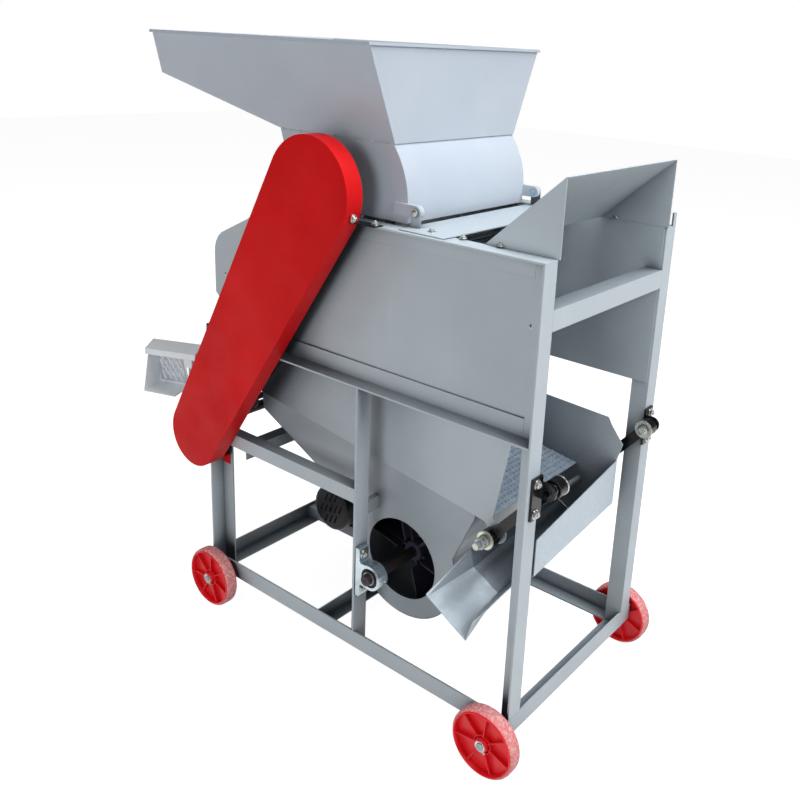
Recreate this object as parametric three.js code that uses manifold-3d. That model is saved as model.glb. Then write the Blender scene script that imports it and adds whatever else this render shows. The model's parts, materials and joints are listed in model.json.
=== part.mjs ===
// Peanut sheller on a wheeled angle-steel frame.
// Millimetres. +X runs along the machine to the husk outlet, +Y from the near side to the far side, +Z up.
// Pieces are laid out from the lower near left corner of the frame, and the whole is centred at the end.

import * as THREE from "three";
import { mergeVertices } from "three/addons/utils/BufferGeometryUtils.js";
import Module from "manifold-3d";

const wasm = await Module();
wasm.setup();

// Driving dimensions
const FRAME_LENGTH = 920;
const FRAME_WIDTH = 510;
const FRAME_TOP = 970;
const CASING_BOTTOM = 625;
const MID_POST_SHARE = 0.5391;
const MID_POST_FACE = FRAME_LENGTH * MID_POST_SHARE;
const ANGLE_LEG = 40;
const ANGLE_WALL = 4;
const SHEET = 2;
const SEAT = 0.3;
const RUNNING_GAP = 0.5;
const OVERRUN = 6;

// Shaft axes, from the corner of the frame
const ROTOR_SHARE = 0.4163;
const ROTOR_X = FRAME_LENGTH * ROTOR_SHARE;
const ROTOR_BEARING_HEIGHT = 36;
const ROTOR_Z = FRAME_TOP + SEAT + ROTOR_BEARING_HEIGHT;
const ROTOR_SHAFT_RADIUS = 15;
const FAN_BEARING_HEIGHT = 42;
const FAN_X = MID_POST_FACE + SEAT + FAN_BEARING_HEIGHT;
const FAN_Z = 194;
const FAN_SHAFT_RADIUS = 12.5;
const ECCENTRIC_BEARING_HEIGHT = 28;
const ECCENTRIC_X = -SEAT - ECCENTRIC_BEARING_HEIGHT;
const ECCENTRIC_Z = 378;
const ECCENTRIC_SHAFT_RADIUS = 12.5;
const MOTOR_X = 150;
const MOTOR_Z = 105;
const MOTOR_SHAFT_RADIUS = 11;

const SIDES = [
  { name: "near", y: (inset) => inset, out: -1 },
  { name: "far", y: (inset) => FRAME_WIDTH - inset, out: 1 },
];
const [NEAR, FAR] = SIDES;
const MIDDLE_Y = FRAME_WIDTH / 2;
const DEGREE = Math.PI / 180;

// Places that are given by their distance from the right end, the rotor's axis or the far side
const shifted = (start, way, insets) =>
  Object.fromEntries(Object.entries(insets).map(([name, inset]) => [name, start + way * inset]));
const fromRight = (insets) => shifted(FRAME_LENGTH, -1, insets);
const fromRotor = (offsets) => shifted(ROTOR_X, 1, offsets);
const fromFarSide = (insets) => shifted(FRAME_WIDTH, -1, insets);

// Swing arms: the upper pivots are placed on the frame, and the lower pins follow from the arm's reach
const arm = {
  reachX: 140, reachZ: 162, inset: 56, width: 24, eyeRadius: 19, pinRadius: 8, barWidth: 22, barThickness: 12,
  rightOut: 20, rightDrop: 90, leftX: 190, leftDrop: 17,
};
const rightPivot = { x: FRAME_LENGTH + arm.rightOut, z: CASING_BOTTOM - arm.rightDrop };
const leftPivot = { x: arm.leftX, z: CASING_BOTTOM - arm.leftDrop };
const pinBelow = ({ x, z }) => ({ x: x - arm.reachX, z: z - arm.reachZ });
const rightPin = pinBelow(rightPivot);
const leftPin = pinBelow(leftPivot);
const ductGap = 34;
const ductStart = leftPin.x + ductGap;

// Solid helpers

// Closed, merged and outward-facing solid from any three.js geometry.
function solidFrom(geometry) {
  const bare = new THREE.BufferGeometry();
  bare.setAttribute("position", geometry.getAttribute("position").clone());
  if (geometry.index) bare.setIndex(geometry.index.clone());
  const merged = mergeVertices(bare);
  const spots = merged.getAttribute("position").array;
  const corners = merged.index.array;
  const kept = [];
  let volume = 0;
  for (let i = 0; i < corners.length; i += 3) {
    const [a, b, c] = [corners[i], corners[i + 1], corners[i + 2]];
    if (a === b || b === c || c === a) continue;
    kept.push(a, b, c);
    const [p, q, r] = [a, b, c].map((k) => new THREE.Vector3().fromArray(spots, 3 * k));
    volume += p.dot(q.cross(r));
  }
  if (volume < 0) kept.reverse();
  return new wasm.Manifold(new wasm.Mesh({
    numProp: 3,
    vertProperties: new Float32Array(spots),
    triVerts: new Uint32Array(kept),
  }));
}

function geometryFrom(solid) {
  const { vertProperties, triVerts } = solid.getMesh();
  const geometry = new THREE.BufferGeometry();
  geometry.setAttribute("position", new THREE.BufferAttribute(new Float32Array(vertProperties), 3));
  geometry.setIndex(new THREE.BufferAttribute(new Uint32Array(triVerts), 1));
  geometry.computeVertexNormals();
  return geometry;
}

function join(...solids) {
  return solids.flat().reduce((whole, next) => whole.add(next));
}

function cut(base, ...tools) {
  return tools.flat().reduce((rest, tool) => rest.subtract(tool), base);
}

// Box between two corners, each side given as a pair in any order.
function block([x0, x1], [y0, y1], [z0, z1]) {
  const box = new THREE.BoxGeometry(Math.abs(x1 - x0), Math.abs(y1 - y0), Math.abs(z1 - z0));
  box.translate((x0 + x1) / 2, (y0 + y1) / 2, (z0 + z1) / 2);
  return solidFrom(box);
}

// Round bar along Y.
function rod(x, z, radius, [y0, y1], sides = 12) {
  const bar = new THREE.CylinderGeometry(radius, radius, Math.abs(y1 - y0), sides);
  bar.translate(x, (y0 + y1) / 2, z);
  return solidFrom(bar);
}

// The flats of a many-sided hole lie inside its corners, so the corners go out until the flats reach
// the radius.
const holeRadius = (radius, sides) => radius / Math.cos(Math.PI / sides);

// Cutting tool for a round hole along Y, past both faces of the span.
function hole(x, z, radius, [y0, y1], sides = 12) {
  const span = [Math.min(y0, y1) - OVERRUN, Math.max(y0, y1) + OVERRUN];
  return rod(x, z, holeRadius(radius, sides), span, sides);
}

// Points of an arc in degrees, both ends included.
function arc(x, z, radius, from, to, steps) {
  return Array.from({ length: steps + 1 }, (_, i) => {
    const turn = (from + ((to - from) * i) / steps) * DEGREE;
    return [x + radius * Math.cos(turn), z + radius * Math.sin(turn)];
  });
}

function extruded(outline, depth) {
  const shape = new THREE.Shape(outline.map(([u, v]) => new THREE.Vector2(u, v)));
  return new THREE.ExtrudeGeometry(shape, { depth, bevelEnabled: false });
}

// Outline in X and Z, thickened along Y.
function plateXZ(outline, [y0, y1]) {
  const plate = extruded(outline, Math.abs(y1 - y0));
  plate.applyMatrix4(new THREE.Matrix4().makeBasis(
    new THREE.Vector3(1, 0, 0), new THREE.Vector3(0, 0, 1), new THREE.Vector3(0, -1, 0)));
  plate.translate(0, Math.max(y0, y1), 0);
  return plate;
}

function slabXZ(outline, span) {
  return solidFrom(plateXZ(outline, span));
}

// Outline in Y and Z, thickened along X.
function slabYZ(outline, [x0, x1]) {
  const plate = extruded(outline, Math.abs(x1 - x0));
  plate.applyMatrix4(new THREE.Matrix4().makeBasis(
    new THREE.Vector3(0, 1, 0), new THREE.Vector3(0, 0, 1), new THREE.Vector3(1, 0, 0)));
  plate.translate(Math.min(x0, x1), 0, 0);
  return solidFrom(plate);
}

// Outline in X and Y, thickened along Z.
function slabXY(outline, [z0, z1]) {
  const plate = extruded(outline, Math.abs(z1 - z0));
  plate.translate(0, 0, Math.min(z0, z1));
  return solidFrom(plate);
}

// Turned piece about Y. The profile lists radius and height along Y and closes on itself.
function turned(profile, segments) {
  const points = [...profile, profile[0]].map(([radius, y]) => new THREE.Vector2(radius, y));
  return solidFrom(new THREE.LatheGeometry(points, segments));
}

function moved(solid, x, y, z) {
  return solid.translate([x, y, z]);
}

// Offset of an open or closed line of points to its left by a distance, with mitred corners.
function offsetLine(line, distance, closed) {
  const count = line.length;
  const heading = (i, j) => {
    const [du, dv] = [line[j][0] - line[i][0], line[j][1] - line[i][1]];
    const length = Math.hypot(du, dv);
    return [-dv / length, du / length];
  };
  return line.map(([u, v], i) => {
    const before = closed || i > 0 ? heading((i + count - 1) % count, i) : heading(i, i + 1);
    const after = closed || i < count - 1 ? heading(i, (i + 1) % count) : before;
    const mitre = 1 + before[0] * after[0] + before[1] * after[1];
    return [u + (distance * (before[0] + after[0])) / mitre, v + (distance * (before[1] + after[1])) / mitre];
  });
}

// Folded sheet: one line of fold points per section, all of equal count, lofted from section to section.
// place turns a fold point and the section's station into X, Y and Z.
function foldedSheet(sections, thickness, place) {
  const count = sections[0].line.length;
  const spots = [];
  for (const { at, line } of sections) {
    for (const [u, v] of [...line, ...offsetLine(line, thickness, false)]) spots.push(...place(u, v, at));
  }
  const faces = [];
  const quad = (a, b, c, d) => faces.push(a, b, c, a, c, d);
  const face = (section, i) => section * 2 * count + i;
  const back = (section, i) => face(section, i) + count;
  const last = sections.length - 1;
  for (let s = 0; s < last; s += 1) {
    for (let i = 0; i < count - 1; i += 1) {
      quad(face(s, i), face(s + 1, i), face(s + 1, i + 1), face(s, i + 1));
      quad(back(s, i), back(s, i + 1), back(s + 1, i + 1), back(s + 1, i));
    }
    quad(face(s, 0), back(s, 0), back(s + 1, 0), face(s + 1, 0));
    quad(face(s, count - 1), face(s + 1, count - 1), back(s + 1, count - 1), back(s, count - 1));
  }
  for (let i = 0; i < count - 1; i += 1) {
    quad(face(0, i), face(0, i + 1), back(0, i + 1), back(0, i));
    quad(face(last, i), back(last, i), back(last, i + 1), face(last, i + 1));
  }
  const sheet = new THREE.BufferGeometry();
  sheet.setAttribute("position", new THREE.Float32BufferAttribute(spots, 3));
  sheet.setIndex(faces);
  return solidFrom(sheet);
}

const ALONG_Y = (x, z, y) => [x, y, z];
const ALONG_X = (y, z, x) => [x, y, z];

// Outline round two circles and their outer tangents, as a belt or a belt guard has.
function loopOutline(first, second, steps) {
  const [dx, dz] = [second.x - first.x, second.z - first.z];
  const heading = Math.atan2(dz, dx) / DEGREE;
  const spread = Math.acos((first.radius - second.radius) / Math.hypot(dx, dz)) / DEGREE;
  return [
    ...arc(first.x, first.z, first.radius, heading + spread, heading - spread + 360, steps),
    ...arc(second.x, second.z, second.radius, heading - spread, heading + spread, steps),
  ];
}

const grown = (circle, amount) => ({ ...circle, radius: circle.radius + amount });

// Materials
const paint = (color, roughness, metalness) =>
  new THREE.MeshStandardMaterial({ color, roughness, metalness, flatShading: true });
const SILVER_PAINT = paint(0xb4bcc2, 0.45, 0.35);
const HOPPER_PAINT = paint(0xc3c9cf, 0.4, 0.35);
const GALVANISED = paint(0xb9c2c8, 0.35, 0.8);
const GUARD_RED = paint(0xb81c20, 0.4, 0.1);
const WHEEL_RED = paint(0xbe1e23, 0.5, 0);
const BLACK_PAINT = paint(0x1b1d20, 0.5, 0.2);
const ZINC = paint(0xa9adb0, 0.35, 0.85);
const STEEL = paint(0x6d7074, 0.45, 0.8);
const RUBBER = paint(0x17171a, 0.85, 0);

const machine = new THREE.Group();

function add(name, solid, material, position = [0, 0, 0], rotation = [0, 0, 0]) {
  const mesh = new THREE.Mesh(geometryFrom(solid), material.clone());
  mesh.name = name;
  mesh.position.set(...position);
  mesh.rotation.set(...rotation);
  machine.add(mesh);
}

// Wheels and their axles
const wheel = {
  radius: 75, width: 34, gap: 9, fromEnd: 33, axleZ: -8, axleRadius: 8, axlePast: 6, hubRadius: 15,
  hubProud: 2, rimInner: 57, webThickness: 8, ribs: 6, ribThickness: 5, shoulder: 5, segments: 16,
};
const wheelPlaces = [
  { end: "left", x: wheel.fromEnd },
  { end: "right", x: FRAME_LENGTH - wheel.fromEnd },
];

// Bottom frame: four angle rails, one cross bar, two motor rails, and a tab with a stub axle at each wheel
const crossBar = { beforePost: 124, leg: 30, wall: 3 };
const motorRail = { leg: 30, wall: 3, top: 34, nearInset: 185, farInset: 75 };
const motorRailPlaces = [FAR.y(motorRail.nearInset), FAR.y(motorRail.farInset)];
const endRailOverhang = 6;
const axleTab = { halfWidth: 18, below: 20, above: 10 };
const axleEnd = wheel.gap + wheel.width + wheel.axlePast;

function bottomFrame() {
  const pieces = [];
  for (const side of SIDES) {
    pieces.push(block([0, FRAME_LENGTH], [side.y(0), side.y(ANGLE_WALL)], [0, ANGLE_LEG]));
    pieces.push(block([0, FRAME_LENGTH], [side.y(0), side.y(ANGLE_LEG)], [0, ANGLE_WALL]));
    for (const { x } of wheelPlaces) {
      const [tabLow, tabHigh] = [wheel.axleZ - axleTab.below, wheel.axleZ + axleTab.below + axleTab.above];
      pieces.push(block(
        [x - axleTab.halfWidth, x + axleTab.halfWidth], [side.y(0), side.y(ANGLE_WALL)], [tabLow, tabHigh]));
      pieces.push(rod(x, wheel.axleZ, wheel.axleRadius, [side.y(ANGLE_WALL / 2), side.y(-axleEnd)]));
    }
  }
  pieces.push(block([0, ANGLE_WALL], [0, FRAME_WIDTH], [0, ANGLE_LEG]));
  pieces.push(block([0, ANGLE_LEG], [0, FRAME_WIDTH], [0, ANGLE_WALL]));
  const endWeb = [FRAME_LENGTH - ANGLE_WALL, FRAME_LENGTH];
  pieces.push(block(endWeb, [0, FRAME_WIDTH + endRailOverhang], [0, ANGLE_LEG]));
  pieces.push(block([FRAME_LENGTH - ANGLE_LEG, FRAME_LENGTH], [0, FRAME_WIDTH], [0, ANGLE_WALL]));
  const crossSpan = [ANGLE_WALL / 2, FRAME_WIDTH - ANGLE_WALL / 2];
  const { beforePost, leg, wall } = crossBar;
  const x = MID_POST_FACE - beforePost;
  pieces.push(block([x, x + wall], crossSpan, [0, motorRail.top]));
  pieces.push(block([x, x + leg], crossSpan, [0, wall]));
  for (const y of motorRailPlaces) {
    const railSpan = [ANGLE_WALL / 2, x + wall / 2];
    pieces.push(block(railSpan, [y, y + motorRail.wall], [motorRail.top - motorRail.leg, motorRail.top]));
    pieces.push(block(railSpan, [y, y + motorRail.leg], [motorRail.top - motorRail.wall, motorRail.top]));
  }
  return join(pieces);
}
add("bottom_frame", bottomFrame(), SILVER_PAINT);

// Posts: angle steel, one flange across the machine and one along it, standing inside the bottom rails
const LEFT_POST_TOP = 650;
const postTab = { width: 13, above: 28 };

function post(side, face, inward, top) {
  const bottom = ANGLE_WALL + SEAT;
  const low = [-OVERRUN, ANGLE_LEG + SEAT];
  const alongInsets = [side.y(ANGLE_LEG - ANGLE_WALL), side.y(ANGLE_LEG)];
  const angle = join(
    block([face, face + inward * ANGLE_WALL], [side.y(0), side.y(ANGLE_LEG)], [bottom, top]),
    block([face, face + inward * ANGLE_LEG], alongInsets, [bottom, top]),
  );
  const alongRail = block(
    [-OVERRUN, FRAME_LENGTH + OVERRUN], [side.y(-OVERRUN), side.y(ANGLE_WALL + SEAT)], low);
  const across = [side.y(-OVERRUN), side.y(ANGLE_LEG + OVERRUN)];
  const leftRail = block([-OVERRUN, ANGLE_WALL + SEAT], across, low);
  const rightRail = block([FRAME_LENGTH - ANGLE_WALL - SEAT, FRAME_LENGTH + OVERRUN], across, low);
  return cut(angle, alongRail, leftRail, rightRail);
}
for (const side of SIDES) {
  add(`post_left_${side.name}`, post(side, 0, 1, LEFT_POST_TOP), SILVER_PAINT);
  add(`post_mid_${side.name}`, post(side, MID_POST_FACE, -1, CASING_BOTTOM - SEAT), SILVER_PAINT);
}
add("post_right_near", post(NEAR, FRAME_LENGTH, -1, FRAME_TOP), SILVER_PAINT);
add("post_right_far", join(
  post(FAR, FRAME_LENGTH, -1, FRAME_TOP),
  block([FRAME_LENGTH - ANGLE_WALL, FRAME_LENGTH], [FAR.y(0), FAR.y(postTab.width)],
    [FRAME_TOP - postTab.above, FRAME_TOP + postTab.above]),
), SILVER_PAINT);

// Mid frame: a rail on each side of the left half and one rail across
const midRail = { depth: 30, height: 33, wall: 3, top: 393 };
const midCross = { pastDuct: 20, leg: 33, height: 30, top: 370 };
const midCrossX = ductStart + midCross.pastDuct;

function midFrame() {
  const span = [ANGLE_WALL + SEAT, MID_POST_FACE - ANGLE_WALL - SEAT];
  const low = midRail.top - midRail.height;
  const rails = SIDES.flatMap((side) => [
    block(span, [side.y(0), side.y(midRail.wall)], [low, midRail.top]),
    block(span, [side.y(0), side.y(midRail.depth)], [midRail.top - midRail.wall, midRail.top]),
  ]);
  const across = [midRail.wall / 2, FRAME_WIDTH - midRail.wall / 2];
  const { leg, height, top } = midCross;
  const crossEnd = midCrossX + leg;
  return join(
    rails,
    block([midCrossX, crossEnd], across, [top - midRail.wall, top]),
    block([crossEnd - midRail.wall, crossEnd], across, [top - height, top]),
  );
}
add("mid_frame", midFrame(), SILVER_PAINT);

// Long rails: the casing stands on one pair, the bearings and the cover on the other
const topRail = fromRotor({ start: -193 });

function longRail(side, start, ledge, web) {
  const postEdge = ANGLE_LEG - ANGLE_WALL;
  const clearOfPosts = [Math.max(start, ANGLE_LEG + SEAT), FRAME_LENGTH - ANGLE_LEG - SEAT];
  return join(
    block([start, FRAME_LENGTH - ANGLE_WALL - SEAT], [side.y(0), side.y(postEdge - SEAT)], ledge),
    block(clearOfPosts, [side.y(0), side.y(ANGLE_LEG)], ledge),
    block(clearOfPosts, [side.y(postEdge), side.y(ANGLE_LEG)], web),
  );
}
for (const side of SIDES) {
  add(`casing_rail_${side.name}`, longRail(side, ANGLE_WALL + SEAT,
    [CASING_BOTTOM, CASING_BOTTOM + ANGLE_WALL], [CASING_BOTTOM, CASING_BOTTOM + ANGLE_LEG]), SILVER_PAINT);
  add(`top_rail_${side.name}`, longRail(side, topRail.start,
    [FRAME_TOP - ANGLE_WALL, FRAME_TOP], [FRAME_TOP - ANGLE_LEG, FRAME_TOP]), SILVER_PAINT);
}

// End rail across the husk outlet
const endRail = { top: 880 };
const panelInner = ANGLE_LEG + SEAT + SHEET;

function upperEndRail() {
  const { top } = endRail;
  const inside = [panelInner + SEAT, FRAME_WIDTH - panelInner - SEAT];
  const between = [ANGLE_LEG + SEAT, FRAME_WIDTH - ANGLE_LEG - SEAT];
  return join(
    block([FRAME_LENGTH - ANGLE_WALL, FRAME_LENGTH], between, [top - ANGLE_LEG, top]),
    block([FRAME_LENGTH - ANGLE_LEG, FRAME_LENGTH], inside, [top - ANGLE_WALL, top]),
  );
}
add("upper_end_rail", upperEndRail(), SILVER_PAINT);

// Casing: two side panels with a rounded left end, and a bent sheet that closes that end
const casingEnd = {
  bulge: 11, chamferLow: 709, chamferHigh: 719, shoulderZ: 817, radius: 60, slopeZ: 912,
  ...fromRotor({ slopeX: -275 }),
};

function casingEndLine(inset, low) {
  const { bulge, chamferLow, chamferHigh, shoulderZ, radius, slopeX, slopeZ } = casingEnd;
  const line = [
    [0, low], [0, chamferLow], [-bulge, chamferHigh],
    ...arc(radius - bulge, shoulderZ, radius, 180, 125, 4),
    [slopeX, slopeZ], [topRail.start, FRAME_TOP - ANGLE_WALL - SEAT],
  ];
  return inset ? offsetLine(line, -inset, false) : line;
}

function casingPanel(side) {
  const outline = [
    ...casingEndLine(0, CASING_BOTTOM), [topRail.start, FRAME_TOP],
    [FRAME_LENGTH - ANGLE_WALL - SEAT, FRAME_TOP], [FRAME_LENGTH - ANGLE_WALL - SEAT, CASING_BOTTOM],
  ];
  return slabXZ(outline, [side.y(ANGLE_LEG + SEAT), side.y(panelInner)]);
}
for (const side of SIDES) add(`casing_panel_${side.name}`, casingPanel(side), SILVER_PAINT);

function casingEndSheet() {
  const line = casingEndLine(SHEET, CASING_BOTTOM + SHEET);
  const stations = [panelInner + SEAT, FRAME_WIDTH - panelInner - SEAT];
  return foldedSheet(stations.map((at) => ({ at, line })), -SHEET, ALONG_Y);
}
add("casing_end_sheet", casingEndSheet(), SILVER_PAINT);

// Husk hood over the right end of the casing, open to the right
const hood = { rise: 142, ...fromRight({ startX: 155, endX: -4 }) };

function huskHood() {
  const bottom = FRAME_TOP + SEAT;
  const top = bottom + hood.rise;
  const triangle = [[hood.startX, bottom], [hood.endX, bottom], [hood.endX, top]];
  const cheeks = SIDES.map((side) => slabXZ(triangle, [side.y(ANGLE_LEG + SEAT), side.y(panelInner)]));
  const line = [[hood.startX, bottom], [hood.endX, top]];
  const stations = [ANGLE_LEG + SEAT, FRAME_WIDTH - ANGLE_LEG - SEAT];
  const roof = foldedSheet(stations.map((at) => ({ at, line })), -SHEET, ALONG_Y);
  const below = block(
    [hood.startX - OVERRUN, hood.endX + OVERRUN], [0, FRAME_WIDTH], [bottom - OVERRUN, bottom]);
  return join(cheeks, cut(roof, below));
}
add("husk_hood", huskHood(), SILVER_PAINT);

// Hinge plate across the top rails, with a lug and a bolt at each side
const hinge = {
  height: 31, lugInset: 44, lugThickness: 3, lugRadius: 12, boltRadius: 4.5,
  plateInset: 10, headRadius: 8, headHeight: 5, nutHeight: 6,
  ...fromRotor({ x: 214 }), ...fromRight({ plateEnd: 225 }),
};
const HINGE_Z = FRAME_TOP + SEAT + hinge.height;
const coverPlateInset = 55;
const tabInset = hinge.lugInset + hinge.lugThickness + RUNNING_GAP;

function hingePlate() {
  const bottom = FRAME_TOP + SEAT;
  const { x, lugRadius, lugInset, lugThickness, boltRadius, plateEnd, plateInset } = hinge;
  const plate = block(
    [x - lugRadius, plateEnd], [plateInset, FRAME_WIDTH - plateInset], [bottom, bottom + SHEET]);
  const outline = [
    [x - lugRadius, bottom], [x + lugRadius, bottom], ...arc(x, HINGE_Z, lugRadius, 0, 180, 10),
  ];
  const lugs = SIDES.map((side) => cut(
    slabXZ(outline, [side.y(lugInset), side.y(lugInset + lugThickness)]),
    hole(x, HINGE_Z, boltRadius + RUNNING_GAP, [side.y(lugInset), side.y(lugInset + lugThickness)])));
  return join(plate, lugs);
}
add("hinge_plate", hingePlate(), SILVER_PAINT);

function hingeBolt(side) {
  const { x, lugInset, boltRadius, headRadius, headHeight, nutHeight } = hinge;
  const outer = lugInset - SEAT;
  const inner = coverPlateInset + SHEET + RUNNING_GAP;
  return join(
    rod(x, HINGE_Z, headRadius, [side.y(outer - headHeight), side.y(outer)], 6),
    rod(x, HINGE_Z, boltRadius, [side.y(outer - headHeight / 2), side.y(inner + nutHeight)], 12),
    rod(x, HINGE_Z, headRadius, [side.y(inner), side.y(inner + nutHeight)], 6),
  );
}
for (const side of SIDES) add(`hinge_bolt_${side.name}`, hingeBolt(side), ZINC);

// Drum cover: half drum over the rotor, open below and into the hopper, hinged at the right
const cover = { radius: 184.5, bottomZ: 973, throatZ: 1122, steps: 9, notchRadius: 24, tabReach: 60 };

function drumOutline(radius, low, high) {
  const lowTurn = Math.asin((low - ROTOR_Z) / radius) / DEGREE;
  const highTurn = Math.asin((high - ROTOR_Z) / radius) / DEGREE;
  return [
    ...arc(ROTOR_X, ROTOR_Z, radius, lowTurn, highTurn, cover.steps),
    ...arc(ROTOR_X, ROTOR_Z, radius, 180 - highTurn, 180 - lowTurn, cover.steps),
  ];
}

function drumCover() {
  const { radius, bottomZ, throatZ, notchRadius, tabReach } = cover;
  const [outer, inner] = [coverPlateInset, coverPlateInset + SHEET];
  const shell = slabXZ(drumOutline(radius, bottomZ, throatZ), [outer, FRAME_WIDTH - outer]);
  const hollow = slabXZ(
    drumOutline(radius - SHEET, bottomZ - OVERRUN, throatZ + OVERRUN), [inner, FRAME_WIDTH - inner]);
  const notch = join(
    rod(ROTOR_X, ROTOR_Z, notchRadius, [0, FRAME_WIDTH], 14),
    block([ROTOR_X - notchRadius, ROTOR_X + notchRadius], [0, FRAME_WIDTH], [bottomZ - OVERRUN, ROTOR_Z]));
  const { x, lugRadius, boltRadius } = hinge;
  const tabOutline = [
    [x - tabReach, HINGE_Z - lugRadius], ...arc(x, HINGE_Z, lugRadius, -90, 90, 10),
    [x - tabReach, HINGE_Z + lugRadius],
  ];
  const tabs = SIDES.map((side) => slabXZ(tabOutline, [side.y(tabInset), side.y(inner)]));
  const bores = SIDES.map((side) =>
    hole(x, HINGE_Z, boltRadius + RUNNING_GAP, [side.y(tabInset), side.y(inner)]));
  return cut(join(cut(shell, hollow), tabs), notch, bores);
}
add("drum_cover", drumCover(), HOPPER_PAINT);

// Feed hopper on the drum cover: upright right wall, sloping floor to the left, flared side walls
const hopper = {
  rimZ: 1308, heelZ: 1215, rimOverhang: 78, lip: 4, lipHeight: 6,
  ...fromRotor({ throatLeft: -177, throatRight: 147, rimLeft: -509, heelX: -535 }),
};
const hopperBottom = cover.throatZ + SEAT;

// Side walls spread with height, from the throat to the rim.
function flare(geometry, growth) {
  const spots = geometry.getAttribute("position");
  for (let i = 0; i < spots.count; i += 1) {
    const spread = 1 + growth * (spots.getZ(i) - hopperBottom);
    spots.setY(i, MIDDLE_Y + (spots.getY(i) - MIDDLE_Y) * spread);
  }
  return geometry;
}

function feedHopper() {
  const { throatLeft, throatRight, rimZ, rimLeft, heelX, heelZ, rimOverhang, lip, lipHeight } = hopper;
  const half = MIDDLE_Y - coverPlateInset;
  const growth = rimOverhang / half / (rimZ - hopperBottom);
  const outline = [
    [throatLeft, hopperBottom], [throatRight, hopperBottom], [throatRight, rimZ], [rimLeft, rimZ],
    [heelX, heelZ],
  ];
  const inner = offsetLine(outline, SHEET, true);
  const slope = (inner[0][0] - inner[4][0]) / (inner[4][1] - inner[0][1]);
  const lean = (inner[3][0] - inner[4][0]) / (inner[3][1] - inner[4][1]);
  const [low, high] = [hopperBottom - OVERRUN, rimZ + OVERRUN];
  const hollowOutline = [
    [inner[0][0] + slope * (inner[0][1] - low), low], [inner[1][0], low], [inner[1][0], high],
    [inner[3][0] + lean * (high - inner[3][1]), high], inner[4],
  ];
  const wall = (outlineXZ, inset) =>
    solidFrom(flare(plateXZ(outlineXZ, [inset, FRAME_WIDTH - inset]), growth));
  const shell = cut(wall(outline, coverPlateInset), wall(hollowOutline, coverPlateInset + SHEET));
  const [rimNear, rimFar] = [coverPlateInset - rimOverhang, FRAME_WIDTH - coverPlateInset + rimOverhang];
  const rim = cut(
    block([rimLeft - lip, throatRight + lip], [rimNear - lip, rimFar + lip], [rimZ - lipHeight, rimZ]),
    block([rimLeft + lip / 2, throatRight - SHEET / 2], [rimNear + lip / 2, rimFar - lip / 2],
      [rimZ - lipHeight - OVERRUN, rimZ + OVERRUN]));
  return join(shell, rim);
}
add("feed_hopper", feedHopper(), HOPPER_PAINT);

// Concave grate under the rotor
const grate = {
  innerRadius: 160, depth: 10, ribThickness: 6, rodRadius: 4, startAngle: 196, endAngle: 344,
  rods: 12, ribs: 3, ribSteps: 10, rodSides: 5,
};

function concaveGrate() {
  const { innerRadius, depth, ribThickness, startAngle, endAngle, rods, rodRadius, ribs } = grate;
  const outline = [
    ...arc(ROTOR_X, ROTOR_Z, innerRadius + depth, startAngle, endAngle, grate.ribSteps),
    ...arc(ROTOR_X, ROTOR_Z, innerRadius, endAngle, startAngle, grate.ribSteps),
  ];
  const first = panelInner + SEAT;
  const last = FRAME_WIDTH - first - ribThickness;
  const pieces = Array.from({ length: ribs }, (_, i) => {
    const y = first + ((last - first) * i) / (ribs - 1);
    return slabXZ(outline, [y, y + ribThickness]);
  });
  const turnIn = (depth / 2 / innerRadius) / DEGREE;
  const rodLine = arc(
    ROTOR_X, ROTOR_Z, innerRadius + depth / 2, startAngle + turnIn, endAngle - turnIn, rods - 1);
  for (const [x, z] of rodLine) {
    pieces.push(rod(x, z, rodRadius, [first + ribThickness / 2, last + ribThickness / 2], grate.rodSides));
  }
  return join(pieces);
}
add("concave_grate", concaveGrate(), STEEL);

// Pillow block bearing with its foot at Z = 0 and its bore along Y
const bossShare = 0.9;

function pillowBlock(bearing) {
  const { height, shaftRadius, width, footLength, footHeight, domeRadius, ringRadius, ringWidth } = bearing;
  const bossLean = domeRadius * bossShare;
  const outline = [
    [-footLength / 2, 0], [footLength / 2, 0], [footLength / 2, footHeight], [bossLean, footHeight + SHEET],
    ...arc(0, height, domeRadius, -10, 190, 7),
    [-bossLean, footHeight + SHEET], [-footLength / 2, footHeight],
  ];
  const ringSpan = [-ringWidth / 2, ringWidth / 2];
  return cut(
    join(slabXZ(outline, [-width / 2, width / 2]), rod(0, height, ringRadius, ringSpan)),
    hole(0, height, shaftRadius + SEAT, ringSpan));
}

// Rotor: shaft, three four-armed spiders and four beater bars
const rotor = {
  tipRadius: 152, barWidth: 34, barThickness: 12, barInset: 62, spiderThickness: 8, armWidth: 32, spiders: 3,
  nearEnd: -42, ...fromFarSide({ farEnd: -26 }),
};

function shellingRotor() {
  const { tipRadius, barWidth, barThickness, barInset, spiderThickness, armWidth, spiders } = rotor;
  const span = [barInset, FRAME_WIDTH - barInset];
  const arm = tipRadius - barThickness / 2;
  const pieces = [rod(0, 0, ROTOR_SHAFT_RADIUS, [rotor.nearEnd, rotor.farEnd])];
  for (let i = 0; i < spiders; i += 1) {
    const y = span[0] + ((span[1] - span[0]) * (i + 0.5)) / spiders;
    const slice = [y - spiderThickness / 2, y + spiderThickness / 2];
    pieces.push(block([-arm, arm], slice, [-armWidth / 2, armWidth / 2]));
    pieces.push(block([-armWidth / 2, armWidth / 2], slice, [-arm, arm]));
  }
  for (const way of [-1, 1]) {
    const reach = [way * (tipRadius - barThickness), way * tipRadius];
    pieces.push(block(reach, span, [-barWidth / 2, barWidth / 2]));
    pieces.push(block([-barWidth / 2, barWidth / 2], span, reach));
  }
  return join(pieces);
}
add("rotor", shellingRotor(), STEEL, [ROTOR_X, 0, ROTOR_Z], [0, 20 * DEGREE, 0]);

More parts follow.
